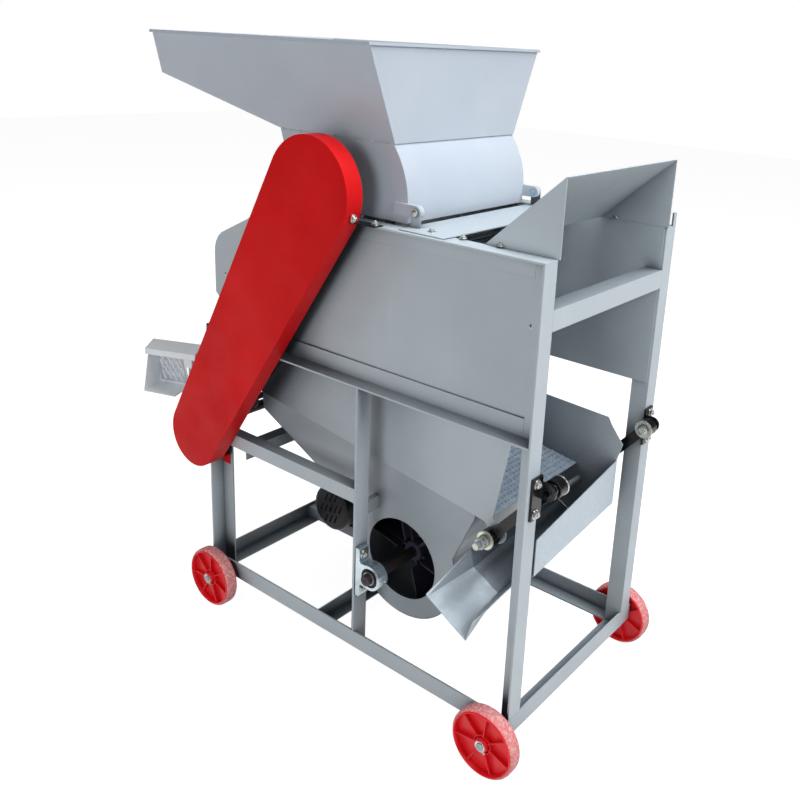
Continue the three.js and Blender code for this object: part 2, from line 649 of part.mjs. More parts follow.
const rotorBearing = {
  height: ROTOR_BEARING_HEIGHT, shaftRadius: ROTOR_SHAFT_RADIUS, width: 28, footLength: 120, footHeight: 13,
  domeRadius: 30, ringRadius: 21, ringWidth: 34, inset: 18,
};
for (const side of SIDES) {
  add(`rotor_bearing_${side.name}`, pillowBlock(rotorBearing), ZINC,
    [ROTOR_X, side.y(rotorBearing.inset), FRAME_TOP + SEAT]);
}

// V-belt pulleys and belts
const groove = { depth: 10, halfTop: 7.5, halfBottom: 5.6, shoulder: 4.5 };
const pulleySides = { largeFrom: 60, large: 26, small: 18 };
const belt = { thickness: 8, halfWidth: 5, sunk: 0.6, steps: 15 };

// Pulley about Y with its grooves centred at the given places along Y.
function pulley(radius, boreRadius, places) {
  const { depth, halfTop, halfBottom, shoulder } = groove;
  const [start, end] = [places[0] - halfTop - shoulder, places[places.length - 1] + halfTop + shoulder];
  const segments = radius > pulleySides.largeFrom ? pulleySides.large : pulleySides.small;
  const bore = holeRadius(boreRadius, segments);
  const profile = [[bore, start], [radius, start]];
  for (const y of places) {
    profile.push([radius, y - halfTop], [radius - depth, y - halfBottom]);
    profile.push([radius - depth, y + halfBottom], [radius, y + halfTop]);
  }
  profile.push([radius, end], [bore, end]);
  return turned(profile, segments);
}

function beltLoop(first, second, y) {
  const outer = [first, second].map((circle) => grown(circle, -belt.sunk));
  const inner = outer.map((circle) => grown(circle, -belt.thickness));
  const [low, high] = [y - belt.halfWidth, y + belt.halfWidth];
  return cut(
    slabXZ(loopOutline(...outer, belt.steps), [low, high]),
    slabXZ(loopOutline(...inner, belt.steps), [low - OVERRUN, high + OVERRUN]));
}

const sieveBeltY = -26;
const { driveBeltY, fanBeltY } = fromFarSide({ driveBeltY: -14, fanBeltY: -34 });
const rotorSmallPulley = { x: ROTOR_X, z: ROTOR_Z, radius: 88 };
const rotorLargePulley = { x: ROTOR_X, z: ROTOR_Z, radius: 112 };
const eccentricPulley = { x: ECCENTRIC_X, z: ECCENTRIC_Z, radius: 42 };
const motorPulley = { x: MOTOR_X, z: MOTOR_Z, radius: 40 };
const fanPulley = { x: FAN_X, z: FAN_Z, radius: 55 };

add("rotor_pulley_near", pulley(rotorSmallPulley.radius, ROTOR_SHAFT_RADIUS + SEAT, [sieveBeltY]), STEEL,
  [ROTOR_X, 0, ROTOR_Z]);
add("rotor_pulley_far", pulley(rotorLargePulley.radius, ROTOR_SHAFT_RADIUS + SEAT, [driveBeltY]), STEEL,
  [ROTOR_X, 0, ROTOR_Z]);
add("eccentric_pulley", pulley(eccentricPulley.radius, ECCENTRIC_SHAFT_RADIUS + SEAT, [sieveBeltY]), STEEL,
  [ECCENTRIC_X, 0, ECCENTRIC_Z]);
add("fan_pulley", pulley(fanPulley.radius, FAN_SHAFT_RADIUS + SEAT, [fanBeltY]), STEEL, [FAN_X, 0, FAN_Z]);
add("motor_pulley", pulley(motorPulley.radius, MOTOR_SHAFT_RADIUS + SEAT, [driveBeltY, fanBeltY]), STEEL,
  [MOTOR_X, 0, MOTOR_Z]);
add("sieve_belt", beltLoop(rotorSmallPulley, eccentricPulley, sieveBeltY), RUBBER);
add("drive_belt", beltLoop(rotorLargePulley, motorPulley, driveBeltY), RUBBER);
add("fan_belt", beltLoop(fanPulley, motorPulley, fanBeltY), RUBBER);

// Belt guard: a red shell with an open back, a strap on the top rail and a foot on the near left post
const guard = {
  upper: { ...fromRotor({ x: 7 }), z: 1020, radius: 112 }, lower: { x: -5, z: 376, radius: 80 },
  front: -45, back: -2, wall: 2, strapWidth: 28, footX: 8, footWidth: 24, footDrop: 26, steps: 18,
  ...fromRotor({ strapX: 97, strapEnd: 162 }),
};

function beltGuard() {
  const { upper, lower, front, back, wall, strapX, strapEnd, footX, footWidth, footDrop, strapWidth } = guard;
  const inside = loopOutline(grown(upper, -wall), grown(lower, -wall), guard.steps);
  const shell = cut(
    slabXZ(loopOutline(upper, lower, guard.steps), [front, back]),
    slabXZ(inside, [front + wall, back + OVERRUN]));
  const strapBottom = FRAME_TOP + SEAT;
  const strap = block(
    [strapX, strapEnd], [back - strapWidth / 2, back + strapWidth / 2], [strapBottom, strapBottom + wall]);
  const shelf = lower.z - Math.sqrt(lower.radius ** 2 - (footX + footWidth - lower.x) ** 2) + wall;
  const postFace = ANGLE_LEG - ANGLE_WALL - SEAT;
  const foot = join(
    block([footX, footX + footWidth], [back - OVERRUN, postFace], [shelf, shelf + wall]),
    block([footX, footX + footWidth], [postFace - wall, postFace], [shelf - footDrop, shelf + wall]));
  return join(shell, strap, foot);
}
add("belt_guard", beltGuard(), GUARD_RED);

// Eccentric shaft on the left posts, with the cam that shakes the sieve
const cam = { radius: 22, throw: 5, halfWidth: 10 };
const eccentric = { nearEnd: -42, ...fromFarSide({ farEnd: -2 }) };

function eccentricShaft() {
  return join(
    rod(0, 0, ECCENTRIC_SHAFT_RADIUS, [eccentric.nearEnd, eccentric.farEnd]),
    rod(0, cam.throw, cam.radius, [MIDDLE_Y - cam.halfWidth, MIDDLE_Y + cam.halfWidth]),
  );
}
add("eccentric_shaft", eccentricShaft(), BLACK_PAINT, [ECCENTRIC_X, 0, ECCENTRIC_Z]);

const eccentricBearing = {
  height: ECCENTRIC_BEARING_HEIGHT, shaftRadius: ECCENTRIC_SHAFT_RADIUS, width: 26, footLength: 92,
  footHeight: 10, domeRadius: 25, ringRadius: 18, ringWidth: 32, inset: 20,
};
for (const side of SIDES) {
  add(`eccentric_bearing_${side.name}`, pillowBlock(eccentricBearing), BLACK_PAINT,
    [-SEAT, side.y(eccentricBearing.inset), ECCENTRIC_Z], [0, -90 * DEGREE, 0]);
}

// Sieve: a sloping box of two walls and two through bars that hang on four arms
const sieve = {
  wallInset: 92, slopeShare: 0.13, edgeZ: 385, leftX: -60, lowTop: 545, stepX: 130, highTop: 619,
  farTopZ: 551, deckRise: 24, lugRadius: 24, noseZ: 489, browZ: 527, crownZ: 543,
  ...fromRight({ edgeX: 134, rightTopX: 93, farStepX: 228, noseX: 19, browX: 50, crownX: 60 }),
};
const washer = { radius: 20, thickness: 4 };
const nut = { radius: 13, thickness: 9, gap: 1, thread: 12 };

const ridgeZ = (x) => sieve.edgeZ + sieve.slopeShare * (sieve.edgeX - x);
const deckZ = (x) => ridgeZ(x) + sieve.deckRise;

// Discharge trough under the low end of the deck, with a spout to the near side
const trough = {
  nearY: 98, lipY: -20, nearDrop: 34, nearTopDrop: 58,
  backZ: 340, heelZ: 302, floorZ: 269, frontZ: 344, topZ: 448, neckZ: 266,
  lipBackZ: 249, lipHeelZ: 245, lipFloorZ: 191, lipFrontZ: 237,
  ...fromRight({
    backX: 172, nearBackX: 185, heelX: 164, nearHeelX: 174, floorX: 108, nearFloorX: 110, frontX: 30,
    neckX: 77, lipBackX: 204, lipHeelX: 201, lipFloorX: 102, lipFrontX: 88,
  }),
};

const troughFarLine = [
  [trough.backX, trough.backZ], [trough.heelX, trough.heelZ], [trough.floorX, trough.floorZ],
  [trough.frontX, trough.frontZ], [trough.frontX, trough.topZ],
];
const troughNeckLine = [
  [trough.nearBackX, trough.backZ - trough.nearDrop], [trough.nearHeelX, trough.heelZ - trough.nearDrop],
  [trough.nearFloorX, trough.floorZ - trough.nearDrop], [trough.neckX, trough.neckZ],
];
const troughNearLine = [
  ...troughNeckLine.slice(0, 3), [trough.frontX, trough.frontZ - trough.nearDrop],
  [trough.frontX, trough.topZ - trough.nearTopDrop],
];
const troughLipLine = [
  [trough.lipBackX, trough.lipBackZ], [trough.lipHeelX, trough.lipHeelZ],
  [trough.lipFloorX, trough.lipFloorZ], [trough.lipFrontX, trough.lipFrontZ],
];

function sieveWall(side) {
  const { leftX, lowTop, stepX, highTop, rightTopX, farStepX, farTopZ, lugRadius, wallInset } = sieve;
  const { noseX, noseZ, browX, browZ, crownX, crownZ } = sieve;
  const left = [[leftX, ridgeZ(leftX)], [sieve.edgeX, sieve.edgeZ]];
  const top = [[stepX, highTop], [stepX, lowTop], [leftX, lowTop]];
  const nearOutline = [...left, [rightTopX, highTop], ...top];
  const farOutline = [
    ...left.slice(0, 1), [trough.backX, ridgeZ(trough.backX)], ...troughFarLine,
    [noseX, noseZ], [browX, browZ], [crownX, crownZ], [farStepX, farTopZ], [farStepX, highTop], ...top,
  ];
  const span = [side.y(wallInset), side.y(wallInset + SHEET)];
  const outline = side === NEAR ? nearOutline : farOutline;
  const lugs = [leftPin, rightPin].map(({ x, z }) => {
    const rootX = Math.min(x, sieve.edgeX - lugRadius / 2);
    const root = rod(rootX, ridgeZ(rootX) + lugRadius / 2, lugRadius / 2, span);
    const hanger = wasm.Manifold.hull([rod(x, z, lugRadius / 2, span), root]);
    return join(rod(x, z, lugRadius, span, 14), hanger);
  });
  return join(slabXZ(outline, span), lugs);
}

function sieveBox() {
  const { wallInset } = sieve;
  const { inset, width, pinRadius } = arm;
  const armFar = inset + width + RUNNING_GAP;
  const pieces = SIDES.map(sieveWall);
  const washerInset = inset - RUNNING_GAP - washer.thickness;
  for (const { x, z } of [leftPin, rightPin]) {
    const threadPast = x === rightPin.x ? 2 * nut.thickness + nut.gap + nut.thread : 0;
    pieces.push(rod(x, z, pinRadius, [washerInset - threadPast, FRAME_WIDTH - washerInset + threadPast]));
    for (const side of SIDES) {
      pieces.push(rod(x, z, washer.radius, [side.y(washerInset), side.y(inset - RUNNING_GAP)], 14));
      pieces.push(rod(x, z, pinRadius + washer.thickness, [side.y(armFar), side.y(wallInset)]));
    }
  }
  for (const side of SIDES) {
    for (const start of [washerInset, washerInset - nut.thickness - nut.gap]) {
      pieces.push(rod(rightPin.x, rightPin.z, nut.radius, [side.y(start), side.y(start - nut.thickness)], 6));
    }
  }
  return join(pieces);
}
add("sieve_box", sieveBox(), SILVER_PAINT);

// Sieve deck: a sloping sheet with rows of raised fish scales
const deck = {
  thickness: 2, rows: 16, columns: 6, staggerShare: 0.25,
  scaleLength: 22, scaleWidth: 26, scaleHeight: 4, margin: 26, ...fromRight({ endX: 128 }),
};

function sieveDeck() {
  const first = sieve.wallInset + SHEET + SEAT;
  const [start, end] = [sieve.leftX + SHEET, deck.endX];
  const sheet = slabXZ([
    [start, deckZ(start)], [end, deckZ(end)],
    [end, deckZ(end) + deck.thickness], [start, deckZ(start) + deck.thickness],
  ], [first, FRAME_WIDTH - first]);
  const scales = [];
  for (let row = 0; row < deck.rows; row += 1) {
    for (let column = 0; column < deck.columns; column += 1) {
      const x = start + deck.margin + ((end - start - 2 * deck.margin) * row) / (deck.rows - 1);
      const stagger = row % 2 ? deck.staggerShare : -deck.staggerShare;
      const share = (column + 1 / 2 + stagger) / deck.columns;
      scales.push(fishScale(x, first + (FRAME_WIDTH - 2 * first) * share));
    }
  }
  return join(sheet, scales);
}

// One scale: a low wedge, open end up the slope, tapering to a point down the slope.
function fishScale(x, y) {
  const { scaleLength, scaleWidth, scaleHeight, thickness } = deck;
  const base = (px) => deckZ(px) + thickness / 2;
  const tip = x + scaleLength;
  const spots = [
    x, y - scaleWidth / 2, base(x),
    x, y + scaleWidth / 2, base(x),
    x, y, base(x) + scaleHeight + thickness / 2,
    tip, y, base(tip),
  ];
  const wedge = new THREE.BufferGeometry();
  wedge.setAttribute("position", new THREE.Float32BufferAttribute(spots, 3));
  wedge.setIndex([0, 1, 2, 0, 3, 1, 1, 3, 2, 2, 3, 0]);
  return solidFrom(wedge);
}
add("sieve_deck", sieveDeck(), GALVANISED);

function dischargeTrough() {
  const farY = FRAME_WIDTH - sieve.wallInset - SHEET - SEAT;
  const body = foldedSheet(
    [{ at: farY, line: troughFarLine }, { at: trough.nearY, line: troughNearLine }], -SHEET, ALONG_Y);
  const spoutSections = [
    { at: trough.nearY + SHEET, line: troughNeckLine }, { at: trough.lipY, line: troughLipLine },
  ];
  return join(body, foldedSheet(spoutSections, -SHEET, ALONG_Y));
}
add("discharge_trough", dischargeTrough(), GALVANISED);

// Kernel chute at the high end of the deck: a channel across the deck's end runs into a scoop that is open
// to the near side, under a strip that is bent down at its edge
const chute = {
  leftX: -240, gap: 1, lipY: -20, lipZ: 415, foldY: 28, foldZ: 431, topY: 6, topZ: 553, cutX: -108, cutY: 0,
  stripStartX: -226, stripEndX: -20, stripLipZ: 533, stripLip: 15, tiltShare: 0.165, leanShare: 0.24,
  channelLeftX: -112, channelWidth: 52, channelNearZ: 460, channelFarZ: 499, wallTop: 540, mouthTop: 506,
};

function kernelChute() {
  const c = chute;
  const rightX = sieve.leftX - c.gap;
  const nearWall = sieve.wallInset - SEAT;
  const farWall = FRAME_WIDTH - sieve.wallInset - SHEET - SEAT;
  // The scoop rises toward the deck, and its left wall leans out at the foot.
  const tilt = (x) => c.tiltShare * (x - c.leftX);
  const tilted = (solid) => solid.warp((spot) => {
    const fromWall = (rightX - spot[0]) / (rightX - c.leftX);
    const rise = tilt(spot[0]);
    spot[0] += c.leanShare * (spot[2] - c.lipZ) * fromWall;
    spot[2] += rise;
  });
  const panLine = [[c.lipY, c.lipZ], [c.foldY, c.foldZ], [c.topY, c.topZ]];
  const stripLine = [[c.lipY, c.stripLipZ - c.stripLip], [c.lipY, c.stripLipZ], [c.topY, c.topZ]];
  const pan = tilted(join(
    foldedSheet([c.leftX, rightX].map((at) => ({ at, line: panLine })), SHEET, ALONG_X),
    slabYZ([...panLine, [c.lipY, c.stripLipZ]], [c.leftX, c.leftX + SHEET]),
  ));
  const tiltedAlongX = (y, z, x) => [x, y, z + tilt(x)];
  const strip = foldedSheet([c.stripStartX, c.stripEndX].map((at) => ({ at, line: stripLine })), -SHEET,
    tiltedAlongX);
  const floorCut = block([c.cutX, rightX + OVERRUN], [c.lipY - OVERRUN, c.cutY], [c.lipZ, c.mouthTop]);
  const mouth = block([c.channelLeftX + SHEET, rightX - SHEET], [c.topY, c.foldY + OVERRUN],
    [c.channelNearZ + SHEET, c.mouthTop]);
  const channelLine = [[c.foldY - SHEET, c.channelNearZ], [farWall, c.channelFarZ]];
  const channelFloor = foldedSheet(
    [c.channelLeftX, rightX].map((at) => ({ at, line: channelLine })), SHEET, ALONG_X);
  const sideLine = [...channelLine, [farWall, c.wallTop], [c.foldY - SHEET, c.wallTop]];
  const leftSide = slabYZ(sideLine, [c.channelLeftX, c.channelLeftX + SHEET]);
  const rightSide = slabYZ([
    [c.cutY, c.channelNearZ - SHEET], [nearWall, c.channelNearZ], [nearWall, c.wallTop], [c.cutY, c.wallTop],
  ], [rightX - SHEET, rightX]);
  const riser = slabYZ([
    [nearWall - SHEET, c.channelNearZ], [farWall, c.channelFarZ], [farWall, c.channelFarZ + SHEET],
    [nearWall - SHEET, c.channelFarZ + SHEET],
  ], [rightX - SHEET, rightX]);
  const farSide = block([c.channelLeftX, rightX], [farWall - SHEET, farWall], [c.channelFarZ, c.wallTop]);
  return join(cut(join(pan, strip), floorCut, mouth), channelFloor, leftSide, rightSide, riser, farSide);
}
add("kernel_chute", kernelChute(), GALVANISED);

// Connecting rod: carried on the sieve's left bar, its big eye stands clear of the cam
const conrod = { eyeRadius: 38, eyeWall: 10, smallRadius: 17, halfWidth: 12, barHalf: 8 };

function connectingRod() {
  const { eyeRadius, eyeWall, smallRadius, halfWidth, barHalf } = conrod;
  const span = [MIDDLE_Y - halfWidth, MIDDLE_Y + halfWidth];
  const big = { x: ECCENTRIC_X, z: ECCENTRIC_Z };
  const [dx, dz] = [leftPin.x - big.x, leftPin.z - big.z];
  const length = Math.hypot(dx, dz);
  const [sx, sz] = [(-dz / length) * barHalf, (dx / length) * barHalf];
  const bar = slabXZ([
    [big.x + sx, big.z + sz], [big.x - sx, big.z - sz],
    [leftPin.x - sx, leftPin.z - sz], [leftPin.x + sx, leftPin.z + sz],
  ], [MIDDLE_Y - halfWidth / 2, MIDDLE_Y + halfWidth / 2]);
  const bigEye = rod(big.x, big.z, eyeRadius + eyeWall, span, 20);
  return cut(
    join(bigEye, bar, rod(leftPin.x, leftPin.z, smallRadius, span, 14)),
    hole(big.x, big.z, eyeRadius, span, 20),
    hole(leftPin.x, leftPin.z, arm.pinRadius + SEAT, span));
}
add("connecting_rod", connectingRod(), BLACK_PAINT);

// Swing arms with an eye at each end, and the brackets that carry their upper pins
function swingArm() {
  const { reachX, reachZ, width, eyeRadius, pinRadius, barWidth, barThickness } = arm;
  const span = [-width / 2, width / 2];
  const length = Math.hypot(reachX, reachZ);
  const [sx, sz] = [(-reachZ / length) * (barWidth / 2), (reachX / length) * (barWidth / 2)];
  const bar = slabXZ([
    [sx, sz], [-sx, -sz], [-reachX - sx, -reachZ - sz], [-reachX + sx, -reachZ + sz],
  ], [-barThickness / 2, barThickness / 2]);
  const ends = [[0, 0], [-reachX, -reachZ]];
  return cut(
    join(bar, ends.map(([x, z]) => rod(x, z, eyeRadius, span, 14))),
    ends.map(([x, z]) => hole(x, z, pinRadius + RUNNING_GAP, span)));
}

const bracket = {
  earThickness: 5, earRadius: 17, plate: 5, plateLow: 55, plateHigh: 30, footInset: 12, footHalf: 26,
  nutThickness: 6,
};

// Upper pin along Y from the ear through the arm's eye, with a collar before the eye and a washer and
// a nut after it.
function upperPin(side, { x, z }) {
  const earInner = ANGLE_LEG + SEAT + bracket.earThickness;
  const { inset, width, pinRadius } = arm;
  const past = inset + width + RUNNING_GAP;
  const start = side.y(earInner - bracket.earThickness / 2);
  const nutStart = past + washer.thickness;
  return join(
    rod(x, z, pinRadius, [start, side.y(nutStart)]),
    rod(x, z, pinRadius + washer.thickness, [start, side.y(inset - RUNNING_GAP)]),
    rod(x, z, washer.radius, [side.y(past), side.y(nutStart)], 14),
    rod(x, z, nut.radius, [side.y(nutStart - SHEET), side.y(nutStart + bracket.nutThickness)], 6));
}

function rightBracket(side) {
  const { earThickness, earRadius, plate, plateLow, plateHigh, footInset } = bracket;
  const { x, z } = rightPivot;
  const face = FRAME_LENGTH + SEAT;
  const earInset = ANGLE_LEG + SEAT;
  const ear = slabXZ([[face, z - earRadius], ...arc(x, z, earRadius, -90, 90, 10), [face, z + earRadius]],
    [side.y(earInset), side.y(earInset + earThickness)]);
  return join(
    block([face, face + plate], [side.y(footInset), side.y(earInset + earThickness)],
      [z - plateLow, z + plateHigh]),
    ear, upperPin(side, { x, z }));
}

function leftBracket(side) {
  const { earThickness, earRadius, plate, footInset, footHalf } = bracket;
  const { x, z } = leftPivot;
  const face = CASING_BOTTOM - SEAT;
  const earInset = ANGLE_LEG + SEAT;
  const ear = slabXZ([[x - earRadius, face], ...arc(x, z, earRadius, 180, 360, 10), [x + earRadius, face]],
    [side.y(earInset - plate), side.y(earInset + earThickness)]);
  return join(
    block([x - footHalf, x + footHalf], [side.y(footInset), side.y(earInset)], [face - plate, face]),
    ear, upperPin(side, { x, z }));
}

for (const side of SIDES) {
  const armY = side.y(arm.inset + arm.width / 2);
  add(`swing_arm_left_${side.name}`, swingArm(), BLACK_PAINT, [leftPivot.x, armY, leftPivot.z]);
  add(`swing_arm_right_${side.name}`, swingArm(), BLACK_PAINT, [rightPivot.x, armY, rightPivot.z]);
  add(`pivot_bracket_left_${side.name}`, leftBracket(side), BLACK_PAINT);
  add(`pivot_bracket_right_${side.name}`, rightBracket(side), BLACK_PAINT);
}

// Fan housing: a drum with an inlet at each side that opens upward into a wide duct under the sieve
const drumLead = 3.7;
const fan = {
  radius: 152, centreX: FAN_X + drumLead, centreZ: 203, insetTop: 98, insetBottom: 112, inletRadius: 98,
  mouthLeft: ductStart, mouthLeftDrop: 46, mouthRightDrop: 12, mouthAbove: 6,
  ...fromRight({ mouthRight: 180 }), rightTurn: 20, leftTurn: 154, drumSteps: 26,
  footHalf: 40, footWall: 3, lugWidth: 15, lugZ: 300, lugHeight: 30,
};

function fanOutline(inset, above) {
  const f = fan;
  const mouth = (x, lift) => [x, ridgeZ(x) + lift];
  const outline = [
    mouth(f.mouthRight, f.mouthAbove), mouth(f.mouthLeft, f.mouthAbove), mouth(f.mouthLeft, -f.mouthLeftDrop),
    ...arc(f.centreX, f.centreZ, f.radius, f.leftTurn, 360 + f.rightTurn, f.drumSteps),
    mouth(f.mouthRight, -f.mouthRightDrop),
  ];
  if (!inset) return outline;
  const inner = offsetLine(outline, inset, true);
  inner[0] = mouth(f.mouthRight - inset, above);
  inner[1] = mouth(f.mouthLeft + inset, above);
  return inner;
}

// The side walls draw in toward the bottom of the drum.
function drawIn(geometry) {
  const spots = geometry.getAttribute("position");
  const top = ridgeZ(fan.mouthLeft);
  const bottom = fan.centreZ - fan.radius;
  const half = MIDDLE_Y - fan.insetTop;
  for (let i = 0; i < spots.count; i += 1) {
    const share = ((top - spots.getZ(i)) / (top - bottom)) * ((fan.insetBottom - fan.insetTop) / half);
    spots.setY(i, MIDDLE_Y + (spots.getY(i) - MIDDLE_Y) * (1 - share));
  }
  return geometry;
}

function fanHousing() {
  const wall = (outline, inset) => solidFrom(drawIn(plateXZ(outline, [inset, FRAME_WIDTH - inset])));
  const inside = wall(fanOutline(SHEET, fan.mouthAbove + OVERRUN), fan.insetTop + SHEET);
  const shell = cut(
    wall(fanOutline(0, 0), fan.insetTop), inside, rod(FAN_X, FAN_Z, fan.inletRadius, [0, FRAME_WIDTH], 32));
  const { lugWidth, lugZ, lugHeight, footHalf, footWall, mouthLeft, mouthLeftDrop } = fan;
  const lugStart = MID_POST_FACE - ANGLE_LEG;
  const lugs = SIDES.map((side) => block(
    [lugStart, lugStart + lugWidth], [side.y(ANGLE_LEG + SEAT), side.y(fan.insetBottom + SHEET)],
    [lugZ, lugZ + lugHeight]));
  const footBottom = midCross.top + SEAT;
  const footX = [midCrossX, midCrossX + midCross.leg];
  const footY = [MIDDLE_Y - footHalf, MIDDLE_Y + footHalf];
  const foot = join(
    block(footX, footY, [footBottom, footBottom + footWall]),
    block([footX[0], footX[0] + footWall], footY, [footBottom, ridgeZ(mouthLeft) - mouthLeftDrop / 2]));
  return join(shell, cut(join(foot, lugs), inside));
}
add("fan_housing", fanHousing(), SILVER_PAINT);

// Fan: shaft, two spiders and six flat blades
const fanWheel = {
  tipRadius: 126, bladeRoot: 34, bladeThickness: 3, bladeInset: 132, blades: 6, hubRadius: 24, hubLength: 30,
  armHalf: 9, armShare: 0.8, nearEnd: -12, ...fromFarSide({ farEnd: -48 }),
};

function fanRotor() {
  const w = fanWheel;
  const hubY = [w.bladeInset + w.hubLength, FRAME_WIDTH - w.bladeInset - w.hubLength];
  const pieces = [rod(0, 0, FAN_SHAFT_RADIUS, [w.nearEnd, w.farEnd])];
  for (const y of hubY) pieces.push(rod(0, 0, w.hubRadius, [y - w.hubLength / 2, y + w.hubLength / 2], 8));
  for (let i = 0; i < w.blades; i += 1) {
    const turn = (360 * i) / w.blades;
    const blade = block(
      [w.bladeRoot, w.tipRadius], [w.bladeInset, FRAME_WIDTH - w.bladeInset], [0, w.bladeThickness]);
    const arms = hubY.map((y) => block([0, w.tipRadius * w.armShare], [y - w.armHalf, y + w.armHalf],
      [-w.bladeThickness, w.bladeThickness / 2]));
    pieces.push(join(blade, arms).rotate([0, turn, 0]));
  }
  return join(pieces);
}
add("fan_rotor", fanRotor(), BLACK_PAINT, [FAN_X, 0, FAN_Z], [0, 14 * DEGREE, 0]);

const fanBearing = {
  height: FAN_BEARING_HEIGHT, shaftRadius: FAN_SHAFT_RADIUS, width: 28, footLength: 118, footHeight: 13,
  domeRadius: 29, ringRadius: 20, ringWidth: 34, inset: 16,
};
for (const side of SIDES) {
  add(`fan_bearing_${side.name}`, pillowBlock(fanBearing), ZINC,
    [MID_POST_FACE + SEAT, side.y(fanBearing.inset), FAN_Z], [0, 90 * DEGREE, 0]);
}

// Motor: finned body, slotted fan cowl toward the near side, two feet, terminal box and shaft
const motor = {
  cowlLength: 34, cowlRadius: 63, cowlFace: 54, cowlBevel: 5.4, bodyRadius: 53, flangeRadius: 57,
  flangeLength: 12, ...fromFarSide({ cowlY: 240, bodyEnd: 28, shaftEnd: -52 }),
  fins: 14, finRadius: 60, finRootShare: 0.1, finTipShare: 0.25,
  footHalf: 56, footHeight: 8, footLength: 26, boxDepth: 34, boxWidth: 60, boxHeight: 46,
  slotLength: 30, slotWidth: 5, slotPitch: 19.5, slotDepth: 4, slotLean: 24,
};

function motorBody() {
  const m = motor;
  const bodyStart = m.cowlY + m.cowlLength;
  const finOutline = Array.from({ length: m.fins }, (_, i) => {
    const step = 360 / m.fins;
    return [
      [m.bodyRadius, -m.finTipShare], [m.finRadius, -m.finRootShare], [m.finRadius, m.finRootShare],
      [m.bodyRadius, m.finTipShare],
    ].map(([radius, share]) => {
      const turn = (i + share) * step * DEGREE;
      return [MOTOR_X + radius * Math.cos(turn), MOTOR_Z + radius * Math.sin(turn)];
    });
  }).flat();
  const cowl = moved(turned([
    [0, 0], [m.cowlFace, 0], [m.cowlRadius, m.cowlBevel], [m.cowlRadius, m.cowlLength], [0, m.cowlLength],
  ], 24), MOTOR_X, m.cowlY, MOTOR_Z);
  const slots = [];
  for (const column of [-2, -1, 0, 1, 2]) {
    for (const row of [-1, 0, 1]) {
      if (Math.abs(column) === 2 && row !== 0) continue;
      const slot = block(
        [-m.slotWidth / 2, m.slotWidth / 2], [-OVERRUN, m.slotDepth], [-m.slotLength / 2, m.slotLength / 2]);
      const [x, z] = [column * m.slotPitch, row * (m.slotLength + m.slotWidth) + column * m.slotWidth];
      slots.push(moved(slot.rotate([0, m.slotLean, 0]), MOTOR_X + x, m.cowlY, MOTOR_Z + z));
    }
  }
  const body = slabXZ(finOutline, [bodyStart - SHEET, m.bodyEnd]);
  const flange = rod(MOTOR_X, MOTOR_Z, m.flangeRadius, [m.bodyEnd - SHEET, m.bodyEnd + m.flangeLength], 20);
  const shaft = rod(MOTOR_X, MOTOR_Z, MOTOR_SHAFT_RADIUS, [m.bodyEnd, m.shaftEnd]);
  const footBottom = motorRail.top + SEAT;
  const feet = motorRailPlaces.map((y) => join(
    block([MOTOR_X - m.footHalf, MOTOR_X + m.footHalf], [y, y + m.footLength],
      [footBottom, footBottom + m.footHeight]),
    block([MOTOR_X - m.footHalf / 2, MOTOR_X + m.footHalf / 2], [y, y + m.footLength],
      [footBottom, MOTOR_Z - m.bodyRadius / 2])));
  const box = block(
    [MOTOR_X + m.bodyRadius / 2, MOTOR_X + m.bodyRadius + m.boxDepth],
    [(bodyStart + m.bodyEnd - m.boxWidth) / 2, (bodyStart + m.bodyEnd + m.boxWidth) / 2],
    [MOTOR_Z - m.boxHeight / 2, MOTOR_Z + m.boxHeight / 2]);
  return join(cut(cowl, slots), body, flange, shaft, feet, box);
}
add("motor", motorBody(), BLACK_PAINT);

// Wheel about Y, its long hub toward +Y, with ribs on both sides of the web
function wheelBody() {
  const w = wheel;
  const half = w.width / 2;
  const bore = holeRadius(w.axleRadius + RUNNING_GAP, w.segments);
  const web = w.webThickness / 2;
  const hubFar = half + w.gap - RUNNING_GAP;
  const hubNear = -half - w.hubProud;
  const body = turned([
    [bore, hubNear], [w.hubRadius, hubNear], [w.hubRadius, -web], [w.rimInner, -web], [w.rimInner, -half],
    [w.radius - w.shoulder, -half], [w.radius, -half + w.shoulder], [w.radius, half - w.shoulder],
    [w.radius - w.shoulder, half], [w.rimInner, half], [w.rimInner, web], [w.hubRadius, web],
    [w.hubRadius, hubFar], [bore, hubFar],
  ], w.segments);
  const sunk = w.shoulder / 2;
  const ribWall = [-w.ribThickness / 2, w.ribThickness / 2];
  const rib = block([w.hubRadius - sunk, w.rimInner + sunk], [sunk - half, half - sunk], ribWall);
  const ribs = Array.from({ length: w.ribs }, (_, i) => rib.rotate([0, (360 * i) / w.ribs, 0]));
  return join(body, ribs);
}
for (const side of SIDES) {
  for (const { end, x } of wheelPlaces) {
    add(`wheel_${end}_${side.name}`, wheelBody(), WHEEL_RED,
      [x, side.y(-wheel.gap - wheel.width / 2), wheel.axleZ], [0, 0, side === FAR ? Math.PI : 0]);
  }
}

// The machine stands on the ground at Z = 0, centred over the origin.
const bounds = new THREE.Box3().setFromObject(machine, true);
const centre = bounds.getCenter(new THREE.Vector3());
machine.position.set(-centre.x, -centre.y, -bounds.min.z);

export default machine;
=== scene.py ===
import json
import math

import bmesh
import bpy
from mathutils import Matrix, Vector
from mathutils.geometry import tessellate_polygon


